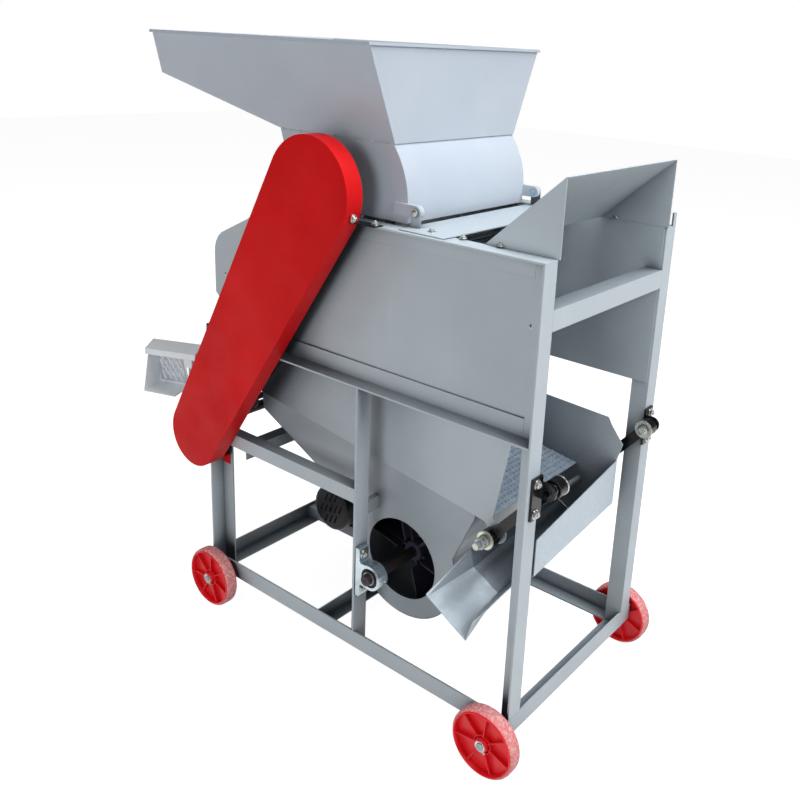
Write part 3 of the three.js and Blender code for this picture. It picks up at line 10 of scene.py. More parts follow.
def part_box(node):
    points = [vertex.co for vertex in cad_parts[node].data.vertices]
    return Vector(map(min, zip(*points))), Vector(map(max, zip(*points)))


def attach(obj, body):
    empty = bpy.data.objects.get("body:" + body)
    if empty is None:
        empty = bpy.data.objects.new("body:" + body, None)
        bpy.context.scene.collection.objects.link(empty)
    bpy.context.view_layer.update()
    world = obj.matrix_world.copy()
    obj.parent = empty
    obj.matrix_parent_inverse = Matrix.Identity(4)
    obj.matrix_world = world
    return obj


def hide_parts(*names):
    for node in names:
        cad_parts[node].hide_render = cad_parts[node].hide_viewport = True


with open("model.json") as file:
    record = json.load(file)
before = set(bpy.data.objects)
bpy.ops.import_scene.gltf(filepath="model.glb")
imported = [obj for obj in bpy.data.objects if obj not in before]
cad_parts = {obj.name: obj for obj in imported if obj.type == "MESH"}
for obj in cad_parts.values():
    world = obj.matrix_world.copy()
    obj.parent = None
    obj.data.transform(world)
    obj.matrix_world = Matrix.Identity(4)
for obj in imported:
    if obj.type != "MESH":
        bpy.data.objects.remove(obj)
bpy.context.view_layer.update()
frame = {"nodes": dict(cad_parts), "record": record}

# Peanut sheller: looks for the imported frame.
# Places are millimetres from the lower near left corner of the frame: X along the machine, Y away, Z up.

MM = 0.001

# Sizes of the frame that the pieces are set against
CASING_BOTTOM = 625
FRAME_LENGTH = 920
FRAME_WIDTH = 510
FRAME_TOP = 970
MIDDLE_Y = FRAME_WIDTH / 2
ANGLE_LEG = 40
ANGLE_WALL = 4
SHEET = 2
SEAT = 0.3
SEEN_GAP = 0.06
CENTRE_RADIUS = 0.01
ROTOR_SHAFT = 15.0
ECCENTRIC_SHAFT = 12.5
FAN_SHAFT = 12.5
MOTOR_SHAFT = 11.0
SIDES = {"near": 1, "far": -1}

POST_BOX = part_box("post_left_near")
RAIL_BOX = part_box("casing_rail_near")
CORNER = Vector((POST_BOX[0][0], POST_BOX[0][1], RAIL_BOX[0][2] - CASING_BOTTOM * MM))


def at(x, y, z):
    """A place in millimetres from the frame's corner, in metres of the row."""
    return CORNER + MM * Vector((x, y, z))


def from_side(side, inset):
    """Distance in from the outer face of the near or far rail, as a Y in millimetres."""
    return inset if side == "near" else FRAME_WIDTH - inset


def spans(side, *insets):
    """Such distances in from one side, as Y places in rising order."""
    return sorted(from_side(side, inset) for inset in insets)


JOINT_SPOTS = {}
for joint in frame["record"]["behaviour"]["joints"]:
    spot = (Vector(joint["pos_m"]) - CORNER) / MM
    JOINT_SPOTS[joint["name"]] = (spot.x, spot.y, spot.z)
ROTOR_X, _, ROTOR_Z = JOINT_SPOTS["rotor_spin"]
FAN_X, _, FAN_Z = JOINT_SPOTS["fan_spin"]
ECCENTRIC_X, _, ECCENTRIC_Z = JOINT_SPOTS["eccentric_spin"]
MOTOR_X, _, MOTOR_Z = JOINT_SPOTS["motor_spin"]
HINGE_X, _, HINGE_Z = JOINT_SPOTS["cover_swing"]


# Materials
def linear(*rgb):
    """An sRGB colour written as 0 to 255, in the linear values that shaders use."""

    def channel(value):
        share = value / 255
        return share / 12.92 if share <= 0.04045 else ((share + 0.055) / 1.055) ** 2.4

    return tuple(channel(value) for value in rgb) + (1.0,)


class Nodes:
    """Short calls for building a material's node tree."""

    def __init__(self, name):
        self.material = bpy.data.materials.new(name)
        self.material.use_nodes = True
        self.tree = self.material.node_tree
        self.shader = self.tree.nodes["Principled BSDF"]

    def add(self, kind, **values):
        node = self.tree.nodes.new(kind)
        for key, value in values.items():
            if hasattr(node, key):
                setattr(node, key, value)
            else:
                node.inputs[key.replace("_", " ").title()].default_value = value
        return node

    def link(self, output, target):
        self.tree.links.new(output, target)

    def place(self, stretch=(1, 1, 1)):
        coordinates = self.add("ShaderNodeTexCoord")
        mapping = self.add("ShaderNodeMapping")
        mapping.inputs["Scale"].default_value = stretch
        self.link(coordinates.outputs["Object"], mapping.inputs["Vector"])
        return mapping.outputs["Vector"]

    def noise(self, scale, detail=3, roughness=0.55, stretch=(1, 1, 1)):
        node = self.add("ShaderNodeTexNoise")
        node.inputs["Scale"].default_value = scale
        node.inputs["Detail"].default_value = detail
        node.inputs["Roughness"].default_value = roughness
        self.link(self.place(stretch), node.inputs["Vector"])
        return node.outputs["Fac"]

    def spread(self, value, low, high, to_low=0.0, to_high=1.0):
        """value from low to high taken to the range to_low to to_high, and held there."""
        node = self.add("ShaderNodeMapRange")
        for key, number in (("From Min", low), ("From Max", high), ("To Min", to_low), ("To Max", to_high)):
            node.inputs[key].default_value = number
        self.link(value, node.inputs["Value"])
        return node.outputs["Result"]

    def mix(self, share, first, second):
        """Colour mix. first and second are sRGB colours of 0 to 255, or sockets."""
        node = self.add("ShaderNodeMix", data_type="RGBA")
        for socket, value in ((node.inputs[6], first), (node.inputs[7], second)):
            if isinstance(value, tuple):
                socket.default_value = linear(*value)
            else:
                self.link(value, socket)
        self.link(share, node.inputs[0])
        return node.outputs[2]

    def maths(self, operation, first, second):
        node = self.add("ShaderNodeMath", operation=operation)
        for socket, value in ((node.inputs[0], first), (node.inputs[1], second)):
            if isinstance(value, (int, float)):
                socket.default_value = value
            else:
                self.link(value, socket)
        return node.outputs[0]

    def edges(self, radius):
        """1 on sharp edges and 0 on flat faces."""
        bevel = self.add("ShaderNodeBevel", samples=4)
        bevel.inputs["Radius"].default_value = radius
        geometry = self.add("ShaderNodeNewGeometry")
        dot = self.add("ShaderNodeVectorMath", operation="DOT_PRODUCT")
        self.link(bevel.outputs["Normal"], dot.inputs[0])
        self.link(geometry.outputs["Normal"], dot.inputs[1])
        return self.spread(dot.outputs["Value"], 0.985, 0.9), bevel.outputs["Normal"]

    def with_painted_shade(self, colour):
        """Painted shade: the colour made darker where other sheets stand close round it, as inside a hood or
        a box.
        """
        # Painted shade: ambient occlusion darkens the base colour towards a dark colour.
        hollow = self.add("ShaderNodeAmbientOcclusion", samples=16)
        hollow.inputs["Distance"].default_value = PAINTED_SHADE_REACH
        closed = self.spread(hollow.outputs["AO"], 0.30, 0.66, PAINTED_SHADE_SHARE, 0.0)
        return self.mix(closed, colour, PAINTED_SHADE_COLOUR)

    def bump(self, height, strength, distance, normal=None):
        node = self.add("ShaderNodeBump")
        node.inputs["Strength"].default_value = strength
        node.inputs["Distance"].default_value = distance
        self.link(height, node.inputs["Height"])
        if normal is not None:
            self.link(normal, node.inputs["Normal"])
        self.link(node.outputs["Normal"], self.shader.inputs["Normal"])

    def set(self, **values):
        for key, value in values.items():
            self.shader.inputs[key.replace("_", " ").replace("Ior", "IOR")].default_value = value


# Lengths in metres, as shaders take them, and how far hollow places turn to the dark colour of painted shade
EDGE_RADIUS = 1.2 * MM
PEEL_DEPTH = 0.4 * MM
BRUSHED_DEPTH = 0.3 * MM
GRAIN_DEPTH = 0.5 * MM
# Painted shade in hollow places: its reach, its share and its dark colour.
PAINTED_SHADE_REACH = 400 * MM
PAINTED_SHADE_SHARE = 0.9
PAINTED_SHADE_COLOUR = (46, 54, 64)


def paint(name, colour, worn, dark, roughness, speckle, gloss=0.5, painted_shade_in_hollows=False):
    """Sprayed paint: faint cloudy tone, dust in streaks, rubbed edges and orange peel, and painted shade
    where sheets close round it if asked.
    """
    m = Nodes(name)
    cloud = m.spread(m.noise(5.0, 4), 0.3, 0.7)
    tone = m.mix(cloud, colour, dark)
    streak = m.spread(m.noise(9.0, 6, 0.7, (1.0, 1.0, 0.25)), 0.60, 0.80, 0.0, speckle)
    dusted = m.mix(streak, tone, worn)
    edge, soft = m.edges(EDGE_RADIUS)
    patches = m.spread(m.noise(60.0, 3), 0.45, 0.65, 0.0, 0.6)
    rubbed = m.mix(m.maths("MULTIPLY", edge, patches), dusted, worn)
    m.link(m.with_painted_shade(rubbed) if painted_shade_in_hollows else rubbed, m.shader.inputs["Base Color"])
    rough = m.spread(m.noise(14.0, 4), 0.3, 0.7, roughness - 0.06, roughness + 0.08)
    m.link(rough, m.shader.inputs["Roughness"])
    m.bump(m.noise(420.0, 2), 0.10, PEEL_DEPTH, soft)
    m.set(Specular_IOR_Level=gloss)
    return m.material


def bare_metal(name, colour, dark, roughness, metallic=0.9):
    """Bare or plated steel: mottled tone and small scratches."""
    m = Nodes(name)
    mottle = m.spread(m.noise(15.0, 5, 0.6), 0.35, 0.7)
    m.link(m.mix(mottle, colour, dark), m.shader.inputs["Base Color"])
    rough = m.spread(m.noise(60.0, 4, 0.6), 0.3, 0.7, roughness - 0.08, roughness + 0.12)
    m.link(rough, m.shader.inputs["Roughness"])
    _, soft = m.edges(EDGE_RADIUS / 2)
    m.bump(m.noise(480.0, 2, 0.5), 0.12, BRUSHED_DEPTH, soft)
    m.set(Metallic=metallic)
    return m.material


def spangled(name, colour, dark, roughness, metallic, painted_shade_in_hollows=False):
    """Galvanised sheet: pale crystals of slightly different tone, and painted shade where sheets close round
    it if asked.
    """
    m = Nodes(name)
    crystals = m.add("ShaderNodeTexVoronoi")
    crystals.inputs["Scale"].default_value = 110.0
    m.link(m.place(), crystals.inputs["Vector"])
    split = m.add("ShaderNodeSeparateColor")
    m.link(crystals.outputs["Color"], split.inputs["Color"])
    share = m.maths("MULTIPLY", split.outputs["Red"], 0.5)
    cloud = m.spread(m.noise(6.0, 4), 0.35, 0.7, 0.0, 0.5)
    sheet = m.mix(m.maths("ADD", share, cloud), colour, dark)
    m.link(m.with_painted_shade(sheet) if painted_shade_in_hollows else sheet, m.shader.inputs["Base Color"])
    rough = m.spread(split.outputs["Green"], 0.0, 1.0, roughness - 0.06, roughness + 0.08)
    m.link(rough, m.shader.inputs["Roughness"])
    _, soft = m.edges(EDGE_RADIUS / 2)
    m.bump(m.noise(240.0, 2), 0.06, PEEL_DEPTH, soft)
    m.set(Metallic=metallic)
    return m.material


def dusty(name, colour, dust, roughness, amount, scale=40.0, peel=0.2):
    """Plastic or rubber with pale dust rubbed into it."""
    m = Nodes(name)
    fine = m.spread(m.noise(scale, 6, 0.7), 0.45, 0.70, 0.0, amount)
    m.link(m.mix(fine, colour, dust), m.shader.inputs["Base Color"])
    rough = m.spread(m.noise(scale / 2, 3), 0.3, 0.7, roughness - 0.08, roughness + 0.08)
    m.link(rough, m.shader.inputs["Roughness"])
    _, soft = m.edges(EDGE_RADIUS)
    m.bump(m.noise(scale * 6, 3), peel, GRAIN_DEPTH, soft)
    return m.material


# Silver paint, with painted shade where sheets close round it.
SILVER = paint("silver_paint", (192, 202, 208), (216, 222, 226), (184, 195, 202), 0.40, 0.22, painted_shade_in_hollows=True)
HOPPER = paint("hopper_paint", (190, 198, 208), (218, 224, 230), (182, 191, 202), 0.36, 0.20)
RED = paint("guard_red", (226, 18, 22), (214, 70, 72), (206, 10, 14), 0.50, 0.04, 0.2)
BLACK = paint("black_paint", (17, 18, 21), (52, 54, 58), (12, 13, 15), 0.28, 0.05, 0.4)
# Galvanised sheet, with painted shade where sheets close round it.
GALVANISED = spangled("galvanised", (196, 208, 217), (184, 197, 207), 0.38, 0.2, painted_shade_in_hollows=True)
DECK = spangled("deck_sheet", (176, 190, 203), (140, 154, 170), 0.34, 0.3)
# Chute sheet: pale zinc made near white, painted light for the light falling on the chute.
CHUTE_SHEET_AND_PAINTED_LIGHT = spangled("chute_sheet_and_painted_light", (244, 247, 249), (232, 238, 243), 0.36, 0.05)
CHUTE_SHADE = spangled("chute_shade", (190, 202, 212), (172, 186, 199), 0.36, 0.1)
ZINC = bare_metal("zinc", (214, 214, 206), (176, 180, 176), 0.28)
CAST = bare_metal("bright_cast", (198, 210, 216), (158, 172, 180), 0.20)
STEEL = bare_metal("machined_steel", (150, 153, 156), (110, 113, 117), 0.38)
DARK_STEEL = bare_metal("dark_steel", (70, 68, 68), (38, 37, 38), 0.45, 0.6)
RUBBER = dusty("rubber", (22, 22, 24), (70, 70, 72), 0.75, 0.25)
WHEEL_RED = dusty("wheel_red", (238, 24, 36), (236, 110, 114), 0.40, 0.12)
TREAD = dusty("wheel_tread", (222, 120, 122), (240, 210, 206), 0.66, 1.0, 190.0, 0.4)
HOUSING = paint("housing_paint", (174, 183, 190), (206, 213, 218), (164, 174, 182), 0.40, 0.2)
FAN_BLACK = dusty("fan_black", (42, 42, 56), (60, 60, 72), 0.70, 0.10)
MOTOR_BLACK = paint("motor_black", (10, 12, 19), (60, 62, 68), (8, 9, 13), 0.42, 0.04, 0.3)
ZINC_YELLOW = bare_metal("zinc_yellow", (206, 208, 190), (170, 174, 156), 0.30)
# Raised strokes: near white, painted highlights on their lips.
STROKE_PAINTED_HIGHLIGHT = bare_metal("stroke_painted_highlight", (254, 254, 255), (240, 244, 248), 0.45, 0.0)
SHAFT_DARK = bare_metal("shaft_dark", (58, 50, 48), (34, 30, 30), 0.42, 0.4)

SLOT_LOOKS = {
    "silver_paint": SILVER, "hopper_paint": HOPPER, "galvanised": GALVANISED, "guard_red": RED,
    "wheel_red": WHEEL_RED, "black_paint": BLACK, "zinc": CAST, "bare_steel": STEEL, "rubber": RUBBER,
}
SLOT_OF = {entry["node"]: entry["material_slot"] for entry in frame["record"]["subparts"]}
# The chute gets its near-white sheet of painted light.
OWN_LOOKS = {"kernel_chute": CHUTE_SHEET_AND_PAINTED_LIGHT}
for node_name, node_object in frame["nodes"].items():
    node_object.data.materials.clear()
    node_object.data.materials.append(OWN_LOOKS.get(node_name, SLOT_LOOKS[SLOT_OF[node_name]]))
BODY_OF = {node: body for body, nodes in frame["record"]["behaviour"]["bodies"].items() for node in nodes}


# Shape helpers: each returns points in millimetres, faces and a look number. solid() makes them an object.
WELD_REACH = 0.02 * MM
BEVEL_ANGLE = 40
BOX_FACES = [(0, 1, 3, 2), (4, 6, 7, 5), (0, 4, 5, 1), (2, 3, 7, 6), (0, 2, 6, 4), (1, 5, 7, 3)]


def solid(name, parts, looks, body, smooth_angle=32, bevel=0.0):
    """One object from (points, faces, look number) parts, riding on a CAD body."""
    mesh = bpy.data.meshes.new(name)
    points, faces, numbers = [], [], []
    for part_points, part_faces, number in parts:
        start = len(points)
        points += [at(*point) for point in part_points]
        faces += [[start + corner for corner in face] for face in part_faces]
        numbers += [number] * len(part_faces)
    mesh.from_pydata(points, [], faces)
    for look in looks:
        mesh.materials.append(look)
    for polygon, number in zip(mesh.polygons, numbers):
        polygon.material_index = number
    tidy = bmesh.new()
    tidy.from_mesh(mesh)
    bmesh.ops.remove_doubles(tidy, verts=tidy.verts, dist=WELD_REACH)
    bmesh.ops.recalc_face_normals(tidy, faces=tidy.faces)
    tidy.to_mesh(mesh)
    tidy.free()
    mesh.shade_smooth()
    mesh.set_sharp_from_angle(angle=math.radians(smooth_angle))
    thing = bpy.data.objects.new(name, mesh)
    bpy.context.scene.collection.objects.link(thing)
    if bevel:
        rounded = thing.modifiers.new("edges", "BEVEL")
        rounded.width = bevel * MM
        rounded.segments = 2
        rounded.limit_method = "ANGLE"
        rounded.angle_limit = math.radians(BEVEL_ANGLE)
        rounded.harden_normals = True
    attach(thing, body)
    return thing


def stand_for(thing, *nodes):
    """Hide the CAD nodes that the object stands in for."""
    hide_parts(*nodes)


def circle(x, z, radius, start=0.0, end=360.0, steps=64):
    """Points of an arc in X and Z, in degrees. A full circle leaves out its last point."""
    count = steps if end - start >= 360 else steps + 1
    turns = [math.radians(start + (end - start) * i / steps) for i in range(count)]
    return [(x + radius * math.cos(t), z + radius * math.sin(t)) for t in turns]


def band(count, first, second):
    """Faces between two closed rings of points, whose numbers begin at first and at second."""
    return [(first + i, first + (i + 1) % count, second + (i + 1) % count, second + i) for i in range(count)]


def mirrored(profile):
    """The (radius, y) pairs, and then the same pairs backwards on the other side of y = 0."""
    return profile + [(radius, -y) for radius, y in reversed(profile)]


def turned(x, z, profile, steps=64, look=0):
    """Turned shape about an axis along Y. profile lists (radius, y); it is closed on itself."""
    points = [(px, y, pz) for radius, y in profile for px, pz in circle(x, z, radius, steps=steps)]
    faces = []
    for ring in range(len(profile)):
        faces += band(steps, ring * steps, (ring + 1) % len(profile) * steps)
    return points, faces, look


def tube(x, z, inner, outer, y0, y1, chamfer=0.5, steps=64, look=0):
    """Round tube along Y with its outer edges chamfered."""
    low, high = min(y0, y1), max(y0, y1)
    profile = [(inner, low), (outer - chamfer, low), (outer, low + chamfer), (outer, high - chamfer),
               (outer - chamfer, high), (inner, high)]
    return turned(x, z, profile, steps, look)


def rod(x, z, radius, y0, y1, chamfer=0.6, steps=40, look=0):
    """Round bar along Y with chamfered ends."""
    return tube(x, z, CENTRE_RADIUS, radius, y0, y1, chamfer, steps, look)


CROWN_SHARES = {"width": 0.78, "height": 0.18}


def hexagon(x, z, across, y0, y1, look=0, turn=0.0):
    """Hexagon nut or head along Y with a rounded crown."""
    low, high = min(y0, y1), max(y0, y1)
    narrow, crown = across * CROWN_SHARES["width"], (high - low) * CROWN_SHARES["height"]
    rings = ((narrow, low), (across, low + crown), (across, high - crown), (narrow, high))
    points = [(px, y, pz) for radius, y in rings for px, pz in circle(x, z, radius, turn, turn + 360, 6)]
    faces = [face for ring in range(3) for face in band(6, ring * 6, ring * 6 + 6)]
    return points, faces + [tuple(range(5, -1, -1)), tuple(range(18, 24))], look


DOME_SHARES = ((1.0, 0.0), (0.92, 0.4), (0.6, 0.85))


def dome(spot, radius, height, axis, out, look=0):
    """Low round bead standing out along an axis."""
    profile = [(CENTRE_RADIUS, 0.0)] + [(radius * wide, out * height * high) for wide, high in DOME_SHARES]
    profile.append((CENTRE_RADIUS, out * height))
    return facing(turned(0, 0, profile, 20, look), axis, spot)


def box(x, y, z, look=0):
    """Box between pairs of places."""
    points = [(x[i], y[j], z[k]) for i in (0, 1) for j in (0, 1) for k in (0, 1)]
    return points, BOX_FACES, look


def prism(outline, y0, y1, look=0):
    """Outline in X and Z thickened along Y."""
    count = len(outline)
    points = [(x, y, z) for y in (y0, y1) for x, z in outline]
    caps = [tuple(range(count)), tuple(range(2 * count - 1, count - 1, -1))]
    return points, caps + band(count, 0, count), look


def ring_plate(outer, inner, y0, y1, look=0):
    """Plate with a hole: outer and inner outlines of equal count, thickened along Y."""
    count = len(outer)
    points = [(x, y, z) for y in (y0, y1) for x, z in outer + inner]
    faces = []
    for i in range(count):
        j = (i + 1) % count
        faces.append((i, j, count + j, count + i))
        faces.append((2 * count + i, 3 * count + i, 3 * count + j, 2 * count + j))
        faces.append((i, 2 * count + i, 2 * count + j, j))
        faces.append((count + i, count + j, 3 * count + j, 3 * count + i))
    return points, faces, look


def offset_line(line, distance):
    """The line moved to its left by a distance, with mitred corners."""
    last = len(line) - 1

    def heading(i):
        across = Vector(line[i + 1]) - Vector(line[i])
        across.normalize()
        return Vector((-across.y, across.x))

    result = []
    for i, (x, z) in enumerate(line):
        before, after = heading(max(i, 1) - 1), heading(min(i, last - 1))
        step = (before + after) * (distance / (1 + before.dot(after)))
        result.append((x + step.x, z + step.y))
    return result


def wrapped(line, y0, y1, thickness, look=0):
    """Sheet bent along a line in X and Z, from y0 to y1, thickened to the line's left."""
    count = len(line)
    points = [(x, y, z) for y in (y0, y1) for x, z in line + offset_line(line, thickness)]
    faces = []
    for i in range(count - 1):
        j = i + 1
        faces.append((i, j, 2 * count + j, 2 * count + i))
        faces.append((count + i, 3 * count + i, 3 * count + j, count + j))
        faces.append((i, count + i, count + j, j))
        faces.append((2 * count + i, 2 * count + j, 3 * count + j, 3 * count + i))
    for i in (0, count - 1):
        faces.append((i, 2 * count + i, 3 * count + i, count + i))
    return points, faces, look


def plate(outline, holes, y0, y1, look=0):
    """Outline in X and Z with holes in it, thickened along Y."""
    loops = [outline] + holes
    flat = [point for loop in loops for point in loop]
    count = len(flat)
    triangles = tessellate_polygon([[Vector((x, z, 0)) for x, z in loop] for loop in loops])
    points = [(x, y, z) for y in (y0, y1) for x, z in flat]
    faces = [tuple(corners) for corners in triangles]
    faces += [tuple(count + corner for corner in reversed(corners)) for corners in triangles]
    start = 0
    for loop in loops:
        faces += band(len(loop), start, count + start)
        start += len(loop)
    return points, faces, look


def facing(part, axis, spot):
    """A part built along Y from the origin, with its Y laid along another axis, moved to a spot."""
    points, faces, look = part
    order = {"x": (1, 0, 2), "y": (0, 1, 2), "z": (0, 2, 1)}[axis]
    return [tuple(spot[i] + point[order[i]] for i in range(3)) for point in points], faces, look


def placed(part, x, y, z, degrees=0.0):
    """The part turned about Y round the origin, then moved."""
    points, faces, look = part
    cosine, sine = math.cos(math.radians(degrees)), math.sin(math.radians(degrees))
    points = [(x + px * cosine + pz * sine, y + py, z - px * sine + pz * cosine) for px, py, pz in points]
    return points, faces, look


BOLT = {"head": 8, "height": 5.5, "washer": 10.5, "washer_thickness": 1.8, "thread": 4, "past": 3}
WASHER_CHAMFER = 0.4


def bolt(axis, spot, out, size=1.0, look=0, turn=15.0):
    """Washer, hexagon nut and thread end, standing out along an axis."""
    b = {name: value * size for name, value in BOLT.items()}
    seat = b["washer_thickness"]
    top = seat + b["height"]
    parts = [rod(0, 0, b["washer"], 0, out * seat, WASHER_CHAMFER, 32, look),
             hexagon(0, 0, b["head"], out * seat, out * top, look, turn),
             rod(0, 0, b["thread"], out * (top - seat), out * (top + b["past"]), steps=20, look=look)]
    return [facing(part, axis, spot) for part in parts]


def loop_outline(first, second, steps=48):
    """Outline round two circles (x, z, radius) and their outer tangents."""
    dx, dz = second[0] - first[0], second[1] - first[1]
    heading = math.degrees(math.atan2(dz, dx))
    spread = math.degrees(math.acos((first[2] - second[2]) / math.hypot(dx, dz)))
    return (circle(*first, heading + spread, heading - spread + 360, steps)
            + circle(*second, heading - spread, heading + spread, steps))


def grown(thing, amount):
    """The circle (x, z, radius) with its radius changed by an amount."""
    return thing[0], thing[1], thing[2] + amount


# Wheels: red plastic with seven ribs and an eight-sided collar, under a dusty tread
WHEEL = {"radius": 75, "half": 17, "gap": 9, "hub": 15, "hub_flare": 1.5, "hub_cut": 0.6, "bore": 8.5,
         "chamfer": 1.2, "proud": 2, "rim": 65.5, "rim_slope": (1.5, 3), "tread": 70.5, "rim_edge": (2, 1.5),
         "tread_base": ((-1, 1.8), (1.6, 2.6)), "tread_crown": ((0.6, 5.5), (0, 9)), "web": 3,
         "ribs": 7, "first_rib": 18, "rib": 1.3, "rib_depth": 4.5, "overlap": 1, "collar": 22,
         "collar_wall": 2.2, "collar_proud": 0.4, "collar_chamfer": 0.6, "collar_sides": 8, "edge": 0.7}


def wheel(end, side):
    w = WHEEL
    x, y, z = JOINT_SPOTS[f"wheel_spin_{end}_{side}"]
    out = -SIDES[side]
    half, web, hub, overlap = w["half"], w["web"], w["hub"], w["overlap"]
    rim, tread = w["rim"], w["tread"]
    slope_out, slope_in = w["rim_slope"]
    edge_out, edge_in = w["rim_edge"]
    felloe = [(rim, half - slope_in), (rim + slope_out, half),
              (tread - edge_out, half), (tread, half - edge_in)]
    tyre = [(tread + past, half - inset) for past, inset in w["tread_base"]]
    tyre += [(w["radius"] - short, half - inset) for short, inset in w["tread_crown"]]
    hub_front, hub_back = half + w["proud"], w["hub_cut"] - half - w["gap"]
    hub_line = [(w["bore"], hub_front), (hub - w["chamfer"], hub_front), (hub, hub_front - w["chamfer"]),
                (hub + w["hub_flare"], -web), (hub, hub_back), (w["bore"], hub_back)]
    disc = [(hub - overlap, web), (rim + overlap, web)]

    def across(profile):
        return [(radius, y + out * way) for radius, way in profile]

    reach = half - w["rib_depth"]
    collar_reach = reach + w["collar_proud"]
    parts = [turned(x, z, across(mirrored(felloe)), 72, 0), turned(x, z, across(mirrored(tyre)), 72, 1),
             turned(x, z, across(mirrored(disc)), 72, 0), turned(x, z, across(hub_line), 48, 0),
             tube(x, z, w["collar"] - w["collar_wall"], w["collar"], y - collar_reach, y + collar_reach,
                  w["collar_chamfer"], w["collar_sides"])]
    for i in range(w["ribs"]):
        rib = box((hub - overlap, rim + overlap), (-reach, reach), (-w["rib"], w["rib"]))
        parts.append(placed(rib, x, y, z, 360 / w["ribs"] * i + w["first_rib"]))
    name = f"wheel_{end}_{side}"
    stand_for(solid(f"{name}_look", parts, [WHEEL_RED, TREAD], BODY_OF[name], bevel=w["edge"]), name)


# Axle ends: a washer, the hollow end of the axle with a dark disc down in it as painted shade, and the two
# legs of a split pin
AXLE_END = {"axle": 8, "past": 6, "washer": 12, "washer_thickness": 1.4, "hollow": 2.6, "chamfer": 1.4,
            "hollow_shade": 2.8, "hollow_shade_depth": 2.4, "hollow_shade_chamfer": 0.4, "leg": 0.9, "leg_span": (5, 17),
            "leg_chamfer": 0.2, "leg_depth": 2, "leg_turns": (50, 38)}


def axle_end(end, side):
    a = AXLE_END
    x, y, z = JOINT_SPOTS[f"wheel_spin_{end}_{side}"]
    out = -SIDES[side]
    start = y + out * (WHEEL["half"] + WHEEL["proud"] + SEEN_GAP)
    tip = y + out * (WHEEL["half"] + a["past"] - SEEN_GAP)
    # The dark rod in the hollow stops just below the tip; its end is painted shade deep in the hollow.
    parts = [tube(x, z, a["axle"], a["washer"], start, start + out * a["washer_thickness"]),
             tube(x, z, a["hollow"], a["axle"] + SEEN_GAP, start, tip, a["chamfer"], 40),
             rod(x, z, a["hollow_shade"], start, tip - out * a["hollow_shade_depth"], a["hollow_shade_chamfer"], 20, 1)]
    for turn in a["leg_turns"]:
        leg = facing(rod(0, 0, a["leg"], *a["leg_span"], a["leg_chamfer"], 10), "x", (0, 0, 0))
        parts.append(placed(leg, x, tip - out * a["leg_depth"], z, turn))
    solid(f"axle_end_{end}_{side}", parts, [ZINC, SHAFT_DARK], "frame")


for wheel_end in ("left", "right"):
    for wheel_side in SIDES:
        wheel(wheel_end, wheel_side)
        axle_end(wheel_end, wheel_side)

# Belt guard: a shell with rolled edges, a black strap on the top rail, a foot on the post and two bolts
GUARD = {"front": -45, "back": -2, "wall": 2, "upper_out": 7, "upper_z": 1020, "upper_radius": 112,
         "lower": (-5, 376, 80), "strap": (97, 162), "strap_half": 14, "foot": (8, 32),
         "foot_lap": 6, "drop": 26, "edge": 1.6, "bolt_inset": 14, "bolt_past": 5, "rim_bolt": 116,
         "rim_bolt_rise": 12, "bolt_share": 0.8}


def belt_guard():
    g = GUARD
    wall, front, back, lower = g["wall"], g["front"], g["back"], g["lower"]
    upper = (ROTOR_X + g["upper_out"], g["upper_z"], g["upper_radius"])
    outer = loop_outline(upper, lower)
    inner = loop_outline(grown(upper, -wall), grown(lower, -wall))
    count = len(outer)
    rings = ((outer, front), (outer, back), (inner, back), (inner, front + wall))
    points = [(x, y, z) for line, y in rings for x, z in line]
    faces = [tuple(range(count)), tuple(range(3 * count, 4 * count))]
    for ring in range(3):
        faces += band(count, ring * count, (ring + 1) * count)
    strap_bottom = FRAME_TOP + SEAT
    strap = box([ROTOR_X + x for x in g["strap"]], (back - g["strap_half"], back + g["strap_half"]),
                (strap_bottom, strap_bottom + wall), 1)
    shelf = lower[1] - math.sqrt(lower[2] ** 2 - (g["foot"][1] - lower[0]) ** 2) + wall
    face = ANGLE_LEG - ANGLE_WALL - SEAT
    foot = [box(g["foot"], (back - g["foot_lap"], face), (shelf, shelf + wall)),
            box(g["foot"], (face - wall, face), (shelf - g["drop"], shelf + wall))]
    parts = [(points, faces, 0), strap] + foot
    stand_for(solid("belt_guard_look", parts, [RED, BLACK], "frame", bevel=g["edge"]), "belt_guard")
    strap_spot = (ROTOR_X + g["strap"][1] - g["bolt_inset"], back + g["bolt_past"], strap_bottom + wall)
    rim_spot = (ROTOR_X + g["rim_bolt"], (front + back) / 2, strap_bottom + g["rim_bolt_rise"])
    fixings = bolt("z", strap_spot, 1, g["bolt_share"]) + bolt("x", rim_spot, 1, g["bolt_share"])
    solid("guard_fixings", fixings, [ZINC], "frame")


belt_guard()

# Drum cover: round sheet between two side plates, with hinge tabs and a bent lip under the hopper's foot
COVER = {"radius": 184.5, "bottom": 973, "throat": 1122, "inset": 55, "notch": 24, "tab": 60,
         "lug": 12, "tab_inset": 47.5, "bore": 5, "lip": (-177, -141), "gusset_foot": (-166, 1087),
         "edge": 0.5}


def drum_arcs():
    """The right and left arcs of the round sheet, from its bottom up to the throat."""
    radius = COVER["radius"]
    low, high = (math.degrees(math.asin((COVER[key] - ROTOR_Z) / radius)) for key in ("bottom", "throat"))
    right = circle(ROTOR_X, ROTOR_Z, radius, low, high, 28)
    left = circle(ROTOR_X, ROTOR_Z, radius, 180 - high, 180 - low, 28)
    return right, left


